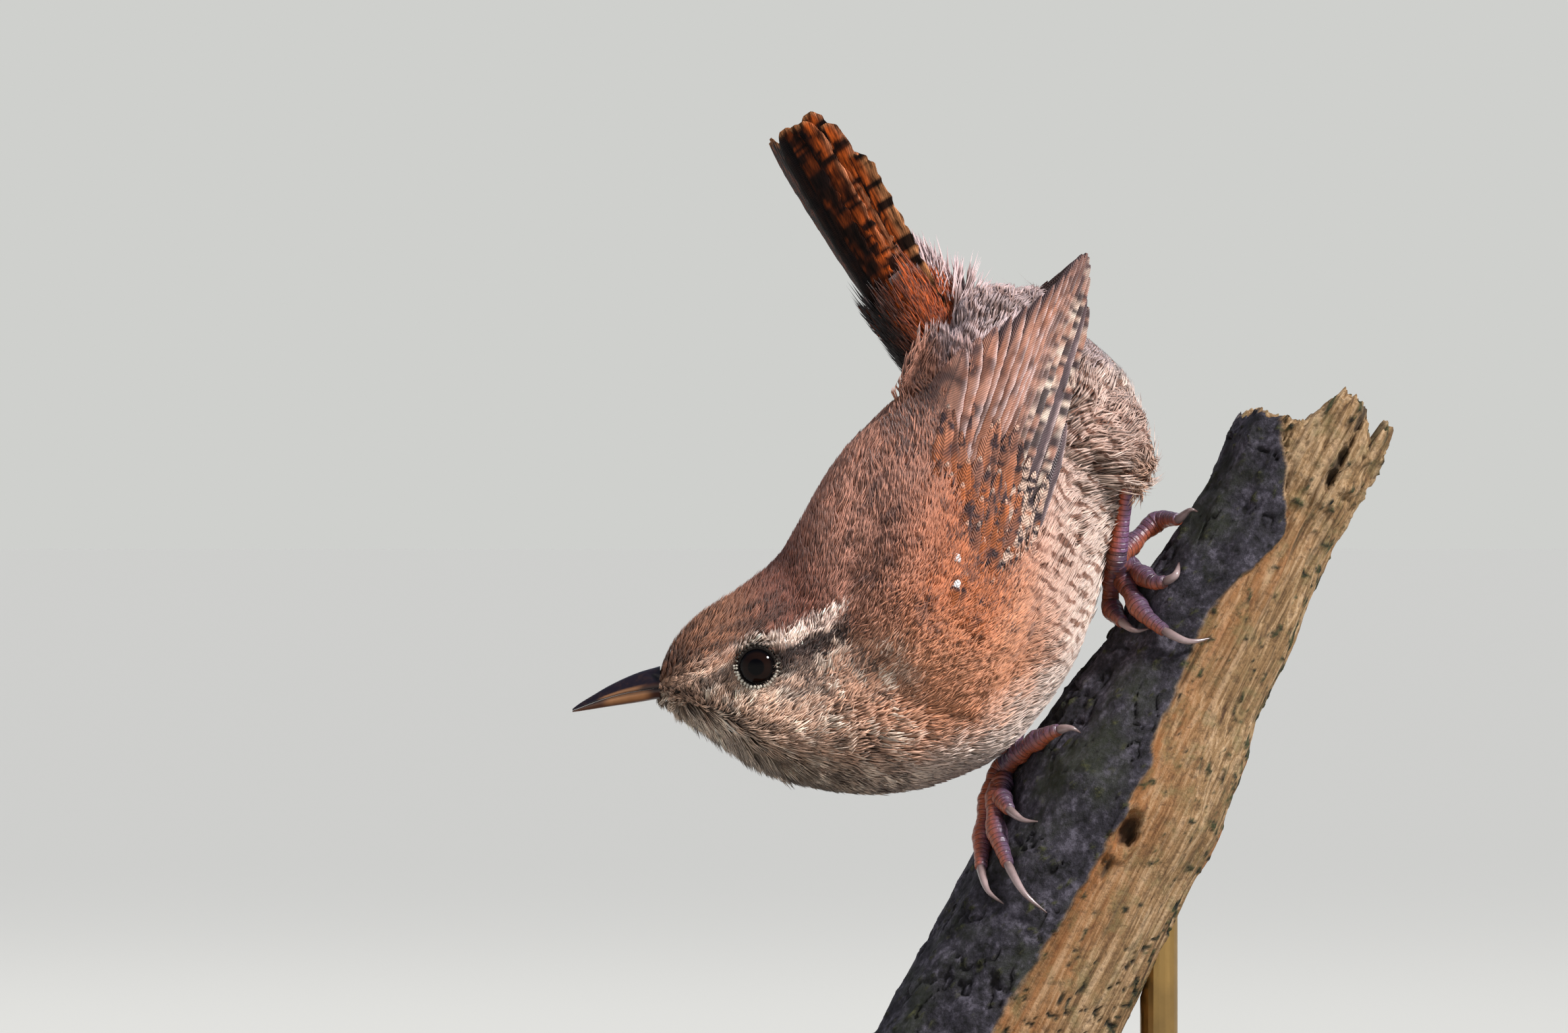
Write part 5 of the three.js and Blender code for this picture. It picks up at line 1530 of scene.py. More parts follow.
def branch_surface(t, degrees, inner):
    """Surface of the branch with its tint. The angle runs from its right side over the front. Bark
    stands above the split wood past a ragged edge, with few thin cracks and fine pits; the wood has
    long straight grooves and fibres; crumbs sit on its right rim; the top ends in lumps."""
    angle = np.radians(degrees)
    along = t * BRANCH_LONG
    plain = branch_radius(t)
    turn = np.stack([np.cos(angle) * plain, np.sin(angle) * plain, along], -1)
    ragged = 5 * layered_noise(turn / np.array([2.6, 2.6, 2.2]), 4, 11)
    edge = np.interp(t, *BARK_EDGE.T[:2])
    beside = degrees - edge - ragged
    bark = smooth(-1.3, 1.3, beside) * smooth(331.6, 328.4, degrees + ragged)
    furrow = 0.22 * np.sin(5 * angle + 9 * t) + 0.16 * np.sin(11 * angle - 6 * t)
    crack = np.abs(layered_noise(turn / np.array([3.4, 3.4, 4.6]), 3, 3))
    crack = smooth(0.045, 0.0, crack) * smooth(-0.05, 0.25, lattice_noise(turn / 5.0, 47)) * bark
    holes = smooth(0.62, 0.8, lattice_noise(turn / 0.45, 49))
    holes = holes * smooth(-0.1, 0.3, lattice_noise(turn / 3.0, 51))
    plates = layered_noise(turn / np.array([2.2, 2.2, 3.0]), 5, 5)
    grooves = layered_noise(turn / np.array([0.9, 0.9, 34.0]), 3, 7)
    fibres = layered_noise(turn / np.array([0.36, 0.36, 9.0]), 3, 13)
    torn = smooth(6.0, 0.0, np.abs(beside)) * (1 - bark)
    crumbs = layered_noise(turn / 0.9, 4, 23)
    lumpy = smooth(0.80, 0.95, t)
    wood_relief = 0.62 * grooves + 0.22 * fibres - 0.35 * torn * (0.6 + fibres) + 0.7 * lumpy * crumbs
    bark_relief = 0.30 * plates - 0.60 * crack - 0.25 * holes + 0.10 * crumbs
    rim = smooth(38, 12, degrees) + smooth(338, 352, degrees)
    hem = smooth(7, 1, np.abs(beside)) * smooth(-0.1, 0.4, lattice_noise(turn / 6.0, 53))
    hem = hem * smooth(0.8, 0.7, t)
    moss = smooth(0.12, 0.30, crumbs + 0.30 * rim * smooth(0.9, 0.8, t) + 0.22 * hem - 0.22)
    pocked = smooth(0.32, 0.5, crumbs) * (1 - bark) * smooth(0.55, 0.3, t + 0.002 * degrees)
    relief = bark_relief * bark + wood_relief * (1 - bark) + 0.45 * moss * (crumbs - 0.2) - 0.5 * pocked
    radius = (plain - BARK_STEP / 2 + BARK_STEP * bark + furrow + relief * inner) * inner
    points = BRANCH_FOOT + BRANCH_WAY * along[..., None] - BRANCH_LEFT * (radius * np.cos(angle))[..., None]
    points[..., 1] -= radius * np.sin(angle)
    near = smooth(0, 0.2, np.sin(angle))
    # Painted shade for the tint's blue: dark in the cracks, the bark's holes, the grooves between fibres and
    # the pocks, and in the pits below.
    dark = crack * 0.95 + 0.8 * holes * bark + 0.6 * smooth(-0.25, -0.7, fibres) * (1 - bark) + 0.8 * pocked
    pit = 0
    for x, z, across, long, deep in PITS:
        off = points - np.array([x, 0, z])
        gap = np.hypot(off @ BRANCH_LEFT / across, off @ BRANCH_WAY / long) + 0.35 * crumbs
        hollow = near * smooth(1.0, 0.5, gap)
        points[..., 1] += deep * hollow - 0.35 * deep * near * np.exp(-((gap - 1.3) / 0.3) ** 2)
        pit = np.maximum(pit, hollow)
    rust = smooth(-42, -8, beside) * (1 - bark) * smooth(0.92, 0.8, t) * np.clip(0.6 + 0.9 * grooves, 0, 1)
    return points, np.stack([1 - bark, moss * (1 - pit), np.clip(dark + 0.9 * pit, 0, 1), rust], -1)


def splinter(degrees, inner):
    """Height of the broken top at places of its face, from the profile across it."""
    return np.interp(-np.cos(np.radians(degrees)) * inner * BRANCH_RADII[-1], *TOP_PROFILE.T)


BRANCH_RINGS, BRANCH_COLUMNS, TOP_RINGS = 240, 300, 36


def branch_mesh():
    """Rings up the branch from its level saw cut, then rings inwards over the broken top."""
    degrees = np.arange(BRANCH_COLUMNS) * 360 / BRANCH_COLUMNS
    start = np.zeros(BRANCH_COLUMNS)
    for _ in range(4):
        points, _ = branch_surface(start, degrees, 1.0)
        start -= (points[:, 2] - BRANCH_FOOT[2]) / BRANCH_RUN[2]
    share = np.linspace(0, 1, BRANCH_RINGS)[:, None]
    t = start + (0.975 - start) * share
    sides, side_tint = branch_surface(t, degrees * np.ones((BRANCH_RINGS, 1)), 1.0)
    inner = np.linspace(1, 0.03, TOP_RINGS)[:, None] ** 0.8 * np.ones(BRANCH_COLUMNS)
    top, top_tint = branch_surface(np.full(inner.shape, 0.98), degrees * np.ones((TOP_RINGS, 1)), inner)
    angle = np.radians(degrees)
    place = np.stack([np.cos(angle) * inner, np.sin(angle) * inner, 0 * inner], -1) * BRANCH_RADII[-1]
    teeth = 1.3 * layered_noise(place / 1.5, 4, 41) * np.minimum(1, 2.2 * inner)
    teeth = teeth + 0.6 * lattice_noise(place / 0.5, 43)
    high = splinter(degrees, inner) + teeth
    rise = high * smooth(0, 0.04, 1.03 - inner)
    top = top + BRANCH_WAY * rise[..., None]
    fade = smooth(0.90, 1.0, share) ** 2 * (t > 0.5)
    sides = sides + BRANCH_WAY * (fade * rise[0] * 0.98)[..., None]
    top_tint[..., 0] = np.maximum(top_tint[..., 0], smooth(1.0, 0.93, inner))
    # Painted shade in the low parts of the broken top.
    top_tint[..., 2] = np.clip(top_tint[..., 2] + smooth(-0.3, -1.4, teeth), 0, 1)
    points, faces = closed(np.concatenate([sides, top]))
    tint = np.concatenate([side_tint, top_tint]).reshape(-1, 4)
    tint = np.concatenate([tint, [[1, 0, 0, 0], [1, 0, 0.5, 0]]])
    return points, faces, tint


# Settings


def hue(name, description, code):
    """A colour setting whose default is a screen colour."""
    return bpy.props.FloatVectorProperty(name=name, description=description, default=srgb(code), size=3,
                                         min=0.0, max=1.0, subtype="COLOR")


def number(name, description, default, low, high, **facts):
    """A number setting with its limits."""
    return bpy.props.FloatProperty(name=name, description=description, default=default, min=low, max=high,
                                   **facts)


def power(name, description, default):
    """A light's power in watts."""
    return number(name, description, default, 0.0, 500.0, unit="POWER")


class WrenPlumage(bpy.types.PropertyGroup):
    """Colours of the feathers."""

    crown: hue("Crown", "Top of the head", "86583f")
    nape: hue("Nape", "Hind neck", "764535")
    back: hue("Back", "Mantle and rump", "a7735e")
    cheek: hue("Cheek", "Side of the head", "c39b82")
    breast: hue("Breast", "Side of the breast", "ab7252")
    flank: hue("Flank", "Flanks", "bd9a8a")
    # Painted shade: chin and throat darkened for the shade under the head.
    throat: hue("Throat", "Chin and throat", "75614f")
    belly: hue("Belly", "Middle of the belly", "cdb6a8")
    vent: hue("Vent", "Vent", "bca29e")
    thigh: hue("Thigh", "Feathers above the ankle", "c49c84")
    brow: hue("Pale flecks", "Pale tips on the face and chin", "f0d9c4")
    brow_band: hue("Brow", "Stripe over the eye", "f2d6c4")
    stripe: hue("Eye stripe", "Dark marks of the face", "33211a")
    wing: hue("Wing web", "Brown webs of the wing", "aa7864")
    wing_dark: hue("Wing bars", "Dark bars and shafts of the wing", "33262a")
    wing_inner: hue("Inner web", "Inner webs of the secondaries", "6d4c42")
    wing_deep: hue("Covert base", "Roots of the wing coverts", "5f3a28")
    wing_tip: hue("Wing tips", "Ends of the flight feathers", "6b5150")
    # Painted glint.
    wing_edge: hue("Bright edge", "Glint along the edges of the flight feathers", "d4b6b0")
    wing_pale: hue("Pale patches", "Pale patches of the outer primaries", "efd8c4")
    hatch: hue("Primary webs", "Hatched grey webs of the outermost primaries", "625052")
    covert: hue("Coverts", "Webs of the wing coverts", "9c5630")
    covert_tip: hue("Covert tips", "Pale ends of the coverts", "dcbaa6")
    spot: hue("White spots", "White ends of a few coverts", "f4efee")
    # Dark inner webs, and painted shade on the tail's right half.
    tail_top: hue("Tail", "Right half and inner webs of the tail", "190b06")
    tail_web: hue("Tail edges", "Outer webs of the tail", "b04e1a")
    tail_edge: hue("Tail rim", "Outermost webs of the tail", "a87a5c")
    tail_bar: hue("Tail bars", "Bars across the tail", "120b0a")
    tail_tip: hue("Tail tips", "Ends of the tail feathers", "a86f48")
    undertail: hue("Undertail", "Pale coverts below the tail", "c8aaa6")
    undertail_mark: hue("Undertail marks", "Dark marks below the tail", "57453f")


class WrenCoat(bpy.types.PropertyGroup):
    """Measures of the feathers."""

    depth: number("Depth", "Depth of the coat on the body", 0.0016, 0.0005, 0.004, unit="LENGTH")
    density: number("Closeness", "Tufts per area against the usual", 1.0, 0.1, 1.5, subtype="FACTOR")
    length: number("Length", "Length of the feathers against the usual", 1.0, 0.5, 1.5, subtype="FACTOR")
    fluff: number("Fluff", "How far the flank's feathers stand off", 0.0007, 0.0, 0.003, unit="LENGTH")


class WrenHorn(bpy.types.PropertyGroup):
    """Colours of the eyes, bill, legs and claws."""

    bill_top: hue("Upper bill", "Ridge and side of the upper bill", "181019")
    bill_low: hue("Bill edge", "Pale edge of the upper bill and middle of the lower", "a8744c")
    bill_tip: hue("Bill tip", "End of the lower bill", "5a3a2c")
    bill_root: hue("Bill root", "Root of both halves at the mouth", "3a2018")
    iris: hue("Iris", "Ring round the pupil", "180c08")
    pupil: hue("Pupil", "Middle of the eye", "030203")
    lid_pale: hue("Pale lid", "Beads below the eye", "efe4d2")
    lid_dark: hue("Dark lid", "Skin round the eye", "1c1410")
    # Painted light on the legs: a warm glow on the left side, away from the key light, and a cool sheen on
    # the right side, towards it.
    leg_front: hue("Lit side", "Warm side of shanks and toes", "9a4a26")
    leg_side: hue("Cool side", "Cool side of shanks and toes", "503a52")
    leg_dark: hue("Leg dark", "Creases and soles", "2a1618")
    claw_pale: hue("Claws", "Middle of the claws", "a08a88")
    claw_dark: hue("Claw ends", "Root and point of the claws", "54403c")


class WrenBranch(bpy.types.PropertyGroup):
    """Colours of the branch."""

    wood_dark: hue("Wood grooves", "Grooves of the split wood", "4f3826")
    wood: hue("Wood", "Split wood", "96754f")
    wood_pale: hue("Pale wood", "Ridges of the split wood", "c0a07c")
    rust: hue("Rusty wood", "Band of wood beside the bark", "9a5f30")
    algae: hue("Algae", "Green film on the wood", "6f6a45")
    bark_dark: hue("Bark hollows", "Hollows of the bark", "0e0c0e")
    bark: hue("Bark", "Bark", "36323a")
    bark_pale: hue("Bark ridges", "Ridges of the bark", "6e6874")
    bark_green: hue("Green bark", "Green film on the bark", "2f3322")
    moss: hue("Crumbs", "Crumbs on the rim of the wood", "4a4a2c")
    moss_dark: hue("Crumb hollows", "Hollows between crumbs", "12120c")


class WrenStage(bpy.types.PropertyGroup):
    """Colours of stand, floor and air, and the lights and camera."""

    base_dark: hue("Base grain", "Dark grain of the base", "2a1a12")
    base_pale: hue("Base wood", "Pale grain of the base", "5b3a26")
    brass: hue("Rods", "Metal of the rods", "b08d57")
    floor: hue("Floor", "Studio floor", "bdbbb5")
    backdrop: hue("Backdrop", "Tone of the air at the height of the bird", "cfd0cd")
    air: hue("Surroundings", "Light from above and all round", "768092")
    air_strength: number("Surroundings' strength", "Strength of the light all round", 1.0, 0.0, 4.0,
                         subtype="FACTOR")
    key: number("Key light", "Strength of the light from the upper right", 4.9, 0.0, 20.0, subtype="FACTOR")
    softness: number("Key softness", "Angle under which the key light is seen", 0.16, 0.0, 1.5,
                     subtype="ANGLE")
    fill: power("Fill light", "Power of the soft light at the left", 3.0)
    rim: power("Rim light", "Power of the light from above and behind", 4.0)
    distance: number("Camera distance", "Distance of the camera from the bird's middle", 1.849, 0.3, 6.0,
                     unit="LENGTH")
    lens: number("Focal length", "Focal length of the camera", 400.0, 20.0, 800.0,
                 subtype="DISTANCE_CAMERA")


def palette(group):
    """Every colour setting of a group as arrays by name."""
    return {name: np.array(getattr(group, name)) for name, prop in group.bl_rna.properties.items()
            if getattr(prop, "subtype", "") == "COLOR"}


def shades(group):
    """Every colour setting of a group as tuples by name."""
    return {name: tuple(value.tolist()) for name, value in palette(group).items()}


# Making of the pieces


def lay_coat(name, slot, surface, roots, shape, tint, finish, chart, turn=0.0, around=(), toward=None,
             seed=1):
    """One coat piece: tufts at the roots, tinted by a function of the place that shows."""
    rng = np.random.default_rng(seed)
    steps = tuft_frames(surface, roots, turn, around, toward)
    shown = roots + steps[0] * (0.7 * shape["length"])[:, None]
    rgb, bars = tint(shown, surface(shown[:, 0], shown[:, 1], np.zeros(len(shown))))
    rgb = rgb * (1 + rng.normal(0, shape.get("vary", 0.11), (len(roots), 1)))
    points, faces, facts = tufts(surface, roots, steps, shape, rng)
    rgb = rgb[facts["tuft"]] * (1 + shape.get("mixed", 0.12) * facts["lock"][:, None])
    colours = np.concatenate([np.clip(rgb, 0, 1), bars[facts["tuft"]][:, None]], axis=1)
    maps = {
        "OFBake": patch_map(facts, chart),
        "Lock": facts["chart"],
        "Span": np.stack([facts["fan"] * 0.5 + 0.5, facts["share"]], 1),
    }
    add_piece(name, slot, (points, outward(points, faces)), colours, finish, maps=maps)


def body_chart(roots):
    """Places on the skin's own unwrap: station along, angle round."""
    return np.stack([roots[:, 0] / (LAST + 1) + 0.03, (roots[:, 1] / (2 * np.pi)) % 1], 1)


# Locks of a soft tuft, and the places of their cross sections along them.
SOFT_RINGS = (0, 0.7, 1)
SOFT = {"locks": 9, "rings": SOFT_RINGS}

# Direction whose part in the surface gives the body feathers' lie: up the body and across it.
BODY_LIE = np.ones(3)
# Name, slot, stations, degrees round, tufts per square millimetre, locks, rings, width, seed.
COAT_REGIONS = [
    ("coat_face", "crown_feather", (0.08, 3.9), (0, 360), 4.4, 5, (0, 0.5, 1), 1.05, 3),
    ("coat_mantle", "mantle_feather", (3.6, 8.4), (-12, 192), 1.5, 9, SOFT_RINGS, 2.5, 5),
    ("coat_breast", "belly_feather", (3.6, 8.4), (168, 372), 1.25, 9, SOFT_RINGS, 2.8, 7),
    ("coat_rump", "mantle_feather", (8.0, 12.9), (-5, 185), 1.5, 9, SOFT_RINGS, 2.6, 9),
    ("coat_belly", "belly_feather", (8.0, 12.9), (172, 368), 1.4, 11, SOFT_RINGS, 3.0, 11),
]


# Reach round the middle of an eye and round a shank where no coat grows, and the reach round an eye
# where the feathers' lie parts.
EYE_BARE, SHANK_BARE, EYE_PARTING = 2.35, 2.3, 2.5


def near_shank(points):
    """True for points close to the middle line of a shank."""
    close = np.zeros(len(points), bool)
    for leg in LEGS.values():
        ankle, joint, down = leg_line(leg)
        t = np.clip((points - ankle) @ down, 0, np.linalg.norm(joint - ankle))
        close |= np.linalg.norm(points - ankle - down * t[:, None], axis=1) < SHANK_BARE
    return close


def make_body_coat(settings, finish):
    """Lays the body's feathers, region by region. None grow on the eyes and the shanks or well under
    a wing; those near an eye are short, and those of chin, flank and vent and beside the thighs
    stand off."""
    colour, coat = palette(settings.plumage), settings.coat
    eyes = [eye_place(sign)[0] for sign in (1, -1)]
    for name, slot, stations, degrees, density, locks, rings, width, seed in COAT_REGIONS:
        face = name == "coat_face"
        roots = scatter(density * coat.density, (stations, np.radians(degrees)), seed)
        s, a = roots.T
        place, ends = body_point(s, a), body_point(s + coat_length(s, a) / 5.2, a)
        far = np.min([np.linalg.norm(place - eye, axis=1) for eye in eyes], axis=0)
        keep = ~under_wing(place, 2.2) & (far > EYE_BARE) & ~near_shank(place) & ~near_shank(ends)
        roots, place, far = roots[keep], place[keep], far[keep]
        s, a = roots.T
        k = np.sin(a)
        rng = np.random.default_rng(seed + 100)
        length = coat_length(s, a) * coat.length * (1 + rng.normal(0, 0.10, len(s)))
        length = np.minimum(length, 0.35 + np.maximum(far - 2.3, 0) * 0.9)
        loose = np.abs(rng.normal(0, 1, len(s)))
        chin = smooth(3.6, 2.6, s) * smooth(-0.1, -0.7, k)
        soft = smooth(8.0, 10.5, s) * smooth(0.2, -0.2, k)
        vent = np.minimum(smooth(9.8, 10.8, s) * smooth(-0.3, 0.3, k) + smooth(11.8, 12.4, s), 1)
        crease = smooth(3.4, 1.0, np.min([thigh_limb(leg).gap(place) for leg in LEGS.values()], axis=0))
        stand = (0.05 * np.minimum(1, length / 3) + 0.4 * chin + 0.06 * smooth(4.0, 3.0, s)
                 + coat.fluff / MM * soft + 1.1 * vent + 0.7 * crease)
        shape = dict(
            locks=locks,
            rings=rings,
            length=length * (1 + 0.35 * vent + 0.8 * crease),
            width=width * np.minimum(1, length / 2.4) * (1 + rng.normal(0, 0.12, len(s))),
            base=-0.9 * coat_depth(s, coat.depth / MM),
            tip=0.05 + crease + stand * loose,
            bow=rng.normal(0, 0.12, len(s)) * length,
            ragged=0.12,
            loose=0.06,
            vary=0.17 if face else 0.10,
            mixed=0.20 if face else 0.12,
        )
        lay_coat(name, slot, body_point, roots, shape, lambda shown, _: plumage(*shown.T, colour),
                 finish, body_chart(roots), turn=rng.normal(0, 0.12, len(s)), toward=BODY_LIE,
                 around=[(eye, EYE_PARTING) for eye in eyes] if face else ())


def pointer(name, description, kind):
    """A setting that holds another group of settings."""
    return bpy.props.PointerProperty(name=name, description=description, type=kind)


class WrenSettings(bpy.types.PropertyGroup):
    """All settings, by group."""

    plumage: pointer("Plumage", "Colours of the feathers", WrenPlumage)
    coat: pointer("Coat", "Measures of the feathers", WrenCoat)
    horn: pointer("Eyes, bill and legs", "Colours of bare parts", WrenHorn)
    branch: pointer("Branch", "Colours of the branch", WrenBranch)
    stage: pointer("Stage", "Stand, floor, lights and camera", WrenStage)


# Operators


class WREN_OT_skin(bpy.types.Operator):
    """Skin under the coat: the oval sections of the body shrunk by the coat's depth, and the thighs"""

    bl_idname = "wren.skin"
    bl_label = "Skin"

    BODY, LIMB = (190, 120), (50, 40)

    def execute(self, context):
        settings = context.scene.wren
        colour = palette(settings.plumage)
        deep = settings.coat.depth / MM
        s, a = ring_grid(0.05, LAST - 0.05, *self.BODY)
        tint, _ = plumage(s.ravel(), a.ravel(), colour)
        # Painted shade: the skin takes the coat's colours darkened, by 0.8 here and on the thighs and by 0.6
        # under the tail, for the shade deep in the coat.
        tint = np.concatenate([tint, tint[[0, -1]]]) * 0.8
        parts = [(*closed(body_point(s, a, -coat_depth(s, deep))), tint)]
        for leg in LEGS.values():
            shape = closed(thigh_limb(leg, -0.6 * deep).point(*ring_grid(0, 1, *self.LIMB)))
            parts.append((*shape, np.ones((len(shape[0]), 3)) * colour["flank"] * 0.8))
        shape = closed(under_tail(*ring_grid(-6, 12, *self.LIMB), -0.7))
        parts.append((*shape, np.ones((len(shape[0]), 3)) * colour["vent"] * 0.6))
        points, faces, tint = gathered(parts)
        add_piece("skin", "belly_feather", (points, faces), tint, down_finish("down"),
                  "head", "neck", "torso", "thigh_left", "thigh_right")
        return {"FINISHED"}


class WREN_OT_body_feathers(bpy.types.Operator):
    """Body feathers: fans of tapering locks along the lie, from the bill's root to the tail's"""

    bl_idname = "wren.body_feathers"
    bl_label = "Body feathers"

    def execute(self, context):
        make_body_coat(context.scene.wren, feather_finish("body_feather"))
        return {"FINISHED"}


class WREN_OT_soft_feathers(bpy.types.Operator):
    """Thigh feathers and the soft coverts under the tail: the same fans on a tapering limb"""

    bl_idname = "wren.soft_feathers"
    bl_label = "Thighs and undertail"

    def execute(self, context):
        settings = context.scene.wren
        colour = palette(settings.plumage)
        finish = feather_finish("soft_feather")
        for index, (side, leg) in enumerate(LEGS.items()):
            limb = thigh_limb(leg)
            rng = np.random.default_rng(50 + index)
            count = int(620 * settings.coat.density)
            roots = np.stack([-0.25 + 1.3 * rng.random(count) ** 0.8, rng.random(count) * 2 * np.pi], 1)
            place = limb.point(roots[:, 0], roots[:, 1])
            ankle = leg_line(leg)[0]
            beside = (place - ankle) @ np.array([1.0, 0, 0]) + 0.6
            roots = roots[~inside_body(place, -0.9) & ((roots[:, 0] < 0.8) | (beside > 0))]
            t = roots[:, 0]
            cuff = smooth(0.6, 0.9, t)
            shape = dict(
                SOFT,
                length=(2.6 + 2.6 * (1 - t) + 1.2 * rng.random(len(t)) * cuff) * settings.coat.length,
                width=1.3 + 1.5 * (1 - t),
                base=-0.5 * settings.coat.depth / MM * np.ones(len(t)),
                tip=0.10 + (0.25 + 0.35 * cuff) * np.abs(rng.normal(0, 1, len(t))),
                bow=rng.normal(0, 0.25, len(t)),
                ragged=0.22,
                loose=0.14,
            )

            def tint(shown, place):
                rgb = blend(plumage_near(place, colour)[0], colour["flank"], 0.75)
                lower = smooth(0.75, 1.0, shown[:, 0])
                return blend(rgb, colour["thigh"], lower), 0.95 * np.ones(len(shown))

            chart = np.stack([0.2 + 0.6 * t, roots[:, 1] / (2 * np.pi)], 1)
            low = smooth(0.45, 0.85, t)[:, None]
            toward = BODY_WAY * (1 - low) + np.array([0.8, -0.1, -0.6]) * low
            lay_coat(f"coat_thigh_{side}", "thigh_feather", limb.point, roots, shape, tint, finish, chart,
                     turn=rng.normal(0, 0.12, len(t)), toward=toward, seed=60 + index)
        self.under_tail(settings, colour, finish)
        self.tail_root(settings, colour, finish)
        return {"FINISHED"}

    def under_tail(self, settings, colour, finish):
        """Long pale coverts from the vent along the underside of the tail, in a loose bulging fan."""
        rng = np.random.default_rng(71)
        count = int(1250 * settings.coat.density)
        roots = np.stack([-7 + 20.5 * rng.random(count), np.radians(198 + 152 * rng.random(count))], 1)
        t = roots[:, 0]
        stand = smooth(9, 4, t)
        shape = dict(
            SOFT,
            length=(3.8 + 1.8 * rng.random(count)) * settings.coat.length,
            width=2.4 + 0.8 * rng.random(count),
            base=-0.9 * np.ones(count),
            tip=0.15 + (0.3 + 1.4 * stand * (rng.random(count) > 0.7)) * np.abs(rng.normal(0, 0.8, count)),
            rise=1.2,
            bow=rng.normal(0, 0.4, count),
            ragged=0.25,
            loose=0.2,
            mixed=0.1,
            vary=0.12,
        )

        def tint(shown, place):
            pale = smooth(-0.3, 0.8, lattice_noise(place / 1.6, 77))
            dark = smooth(0.15, 0.5, lattice_noise(place / 1.5, 79))
            rgb = blend(colour["undertail"], colour["vent"], pale * 0.8)
            return blend(rgb, colour["undertail_mark"], 0.8 * dark), np.full(len(shown), 0.1)

        chart = np.stack([0.05 + 0.9 * (t + 7) / 21, roots[:, 1] / (2 * np.pi) % 1], 1)
        lay_coat("coat_undertail", "belly_feather", under_tail, roots, shape, tint, finish, chart, seed=72)

    def tail_root(self, settings, colour, finish):
        """Coverts over the sides and the top of the tail's root: rusty on the left, with painted shade
        darkening those over the top and the right.
        """
        rng = np.random.default_rng(73)
        count = int(620 * settings.coat.density)
        roots = np.stack([-6 + 13 * rng.random(count), np.radians(-32 + 185 * rng.random(count))], 1)
        t, a = roots.T
        ridge = smooth(2.0, 2.5, a)
        shape = dict(
            SOFT,
            length=(3.6 + 2.4 * rng.random(count)) * settings.coat.length,
            width=1.5 + 0.4 * rng.random(count),
            base=-0.8 * np.ones(count),
            tip=0.15 + 0.3 * np.abs(rng.normal(0, 0.8, count)) + 0.8 * ridge * rng.random(count),
            bow=rng.normal(0, 0.3, count),
            ragged=0.25,
            loose=0.12,
            mixed=0.25,
            vary=0.2,
        )

        def tint(shown, place):
            side = smooth(1.6, 0.5, shown[:, 1] + 0.25 * lattice_noise(place / 1.5, 83))
            # Painted shade: the tail's dark shaded tone on the top and the right, its lit rust on the left.
            rgb = blend(colour["tail_top"], colour["tail_web"] * 0.85, side)
            rgb = blend(rgb, colour["back"], 0.4 * smooth(-2, -5, shown[:, 0]))
            return rgb, np.clip(0.55 + 0.4 * lattice_noise(place / 1.3, 85), 0, 1)

        chart = np.stack([0.05 + 0.9 * (t + 6) / 14, (a + 0.6) / 3.4], 1)
        lay_coat("coat_tail_root", "tail_feather", under_tail, roots, shape, tint, finish, chart, seed=74)


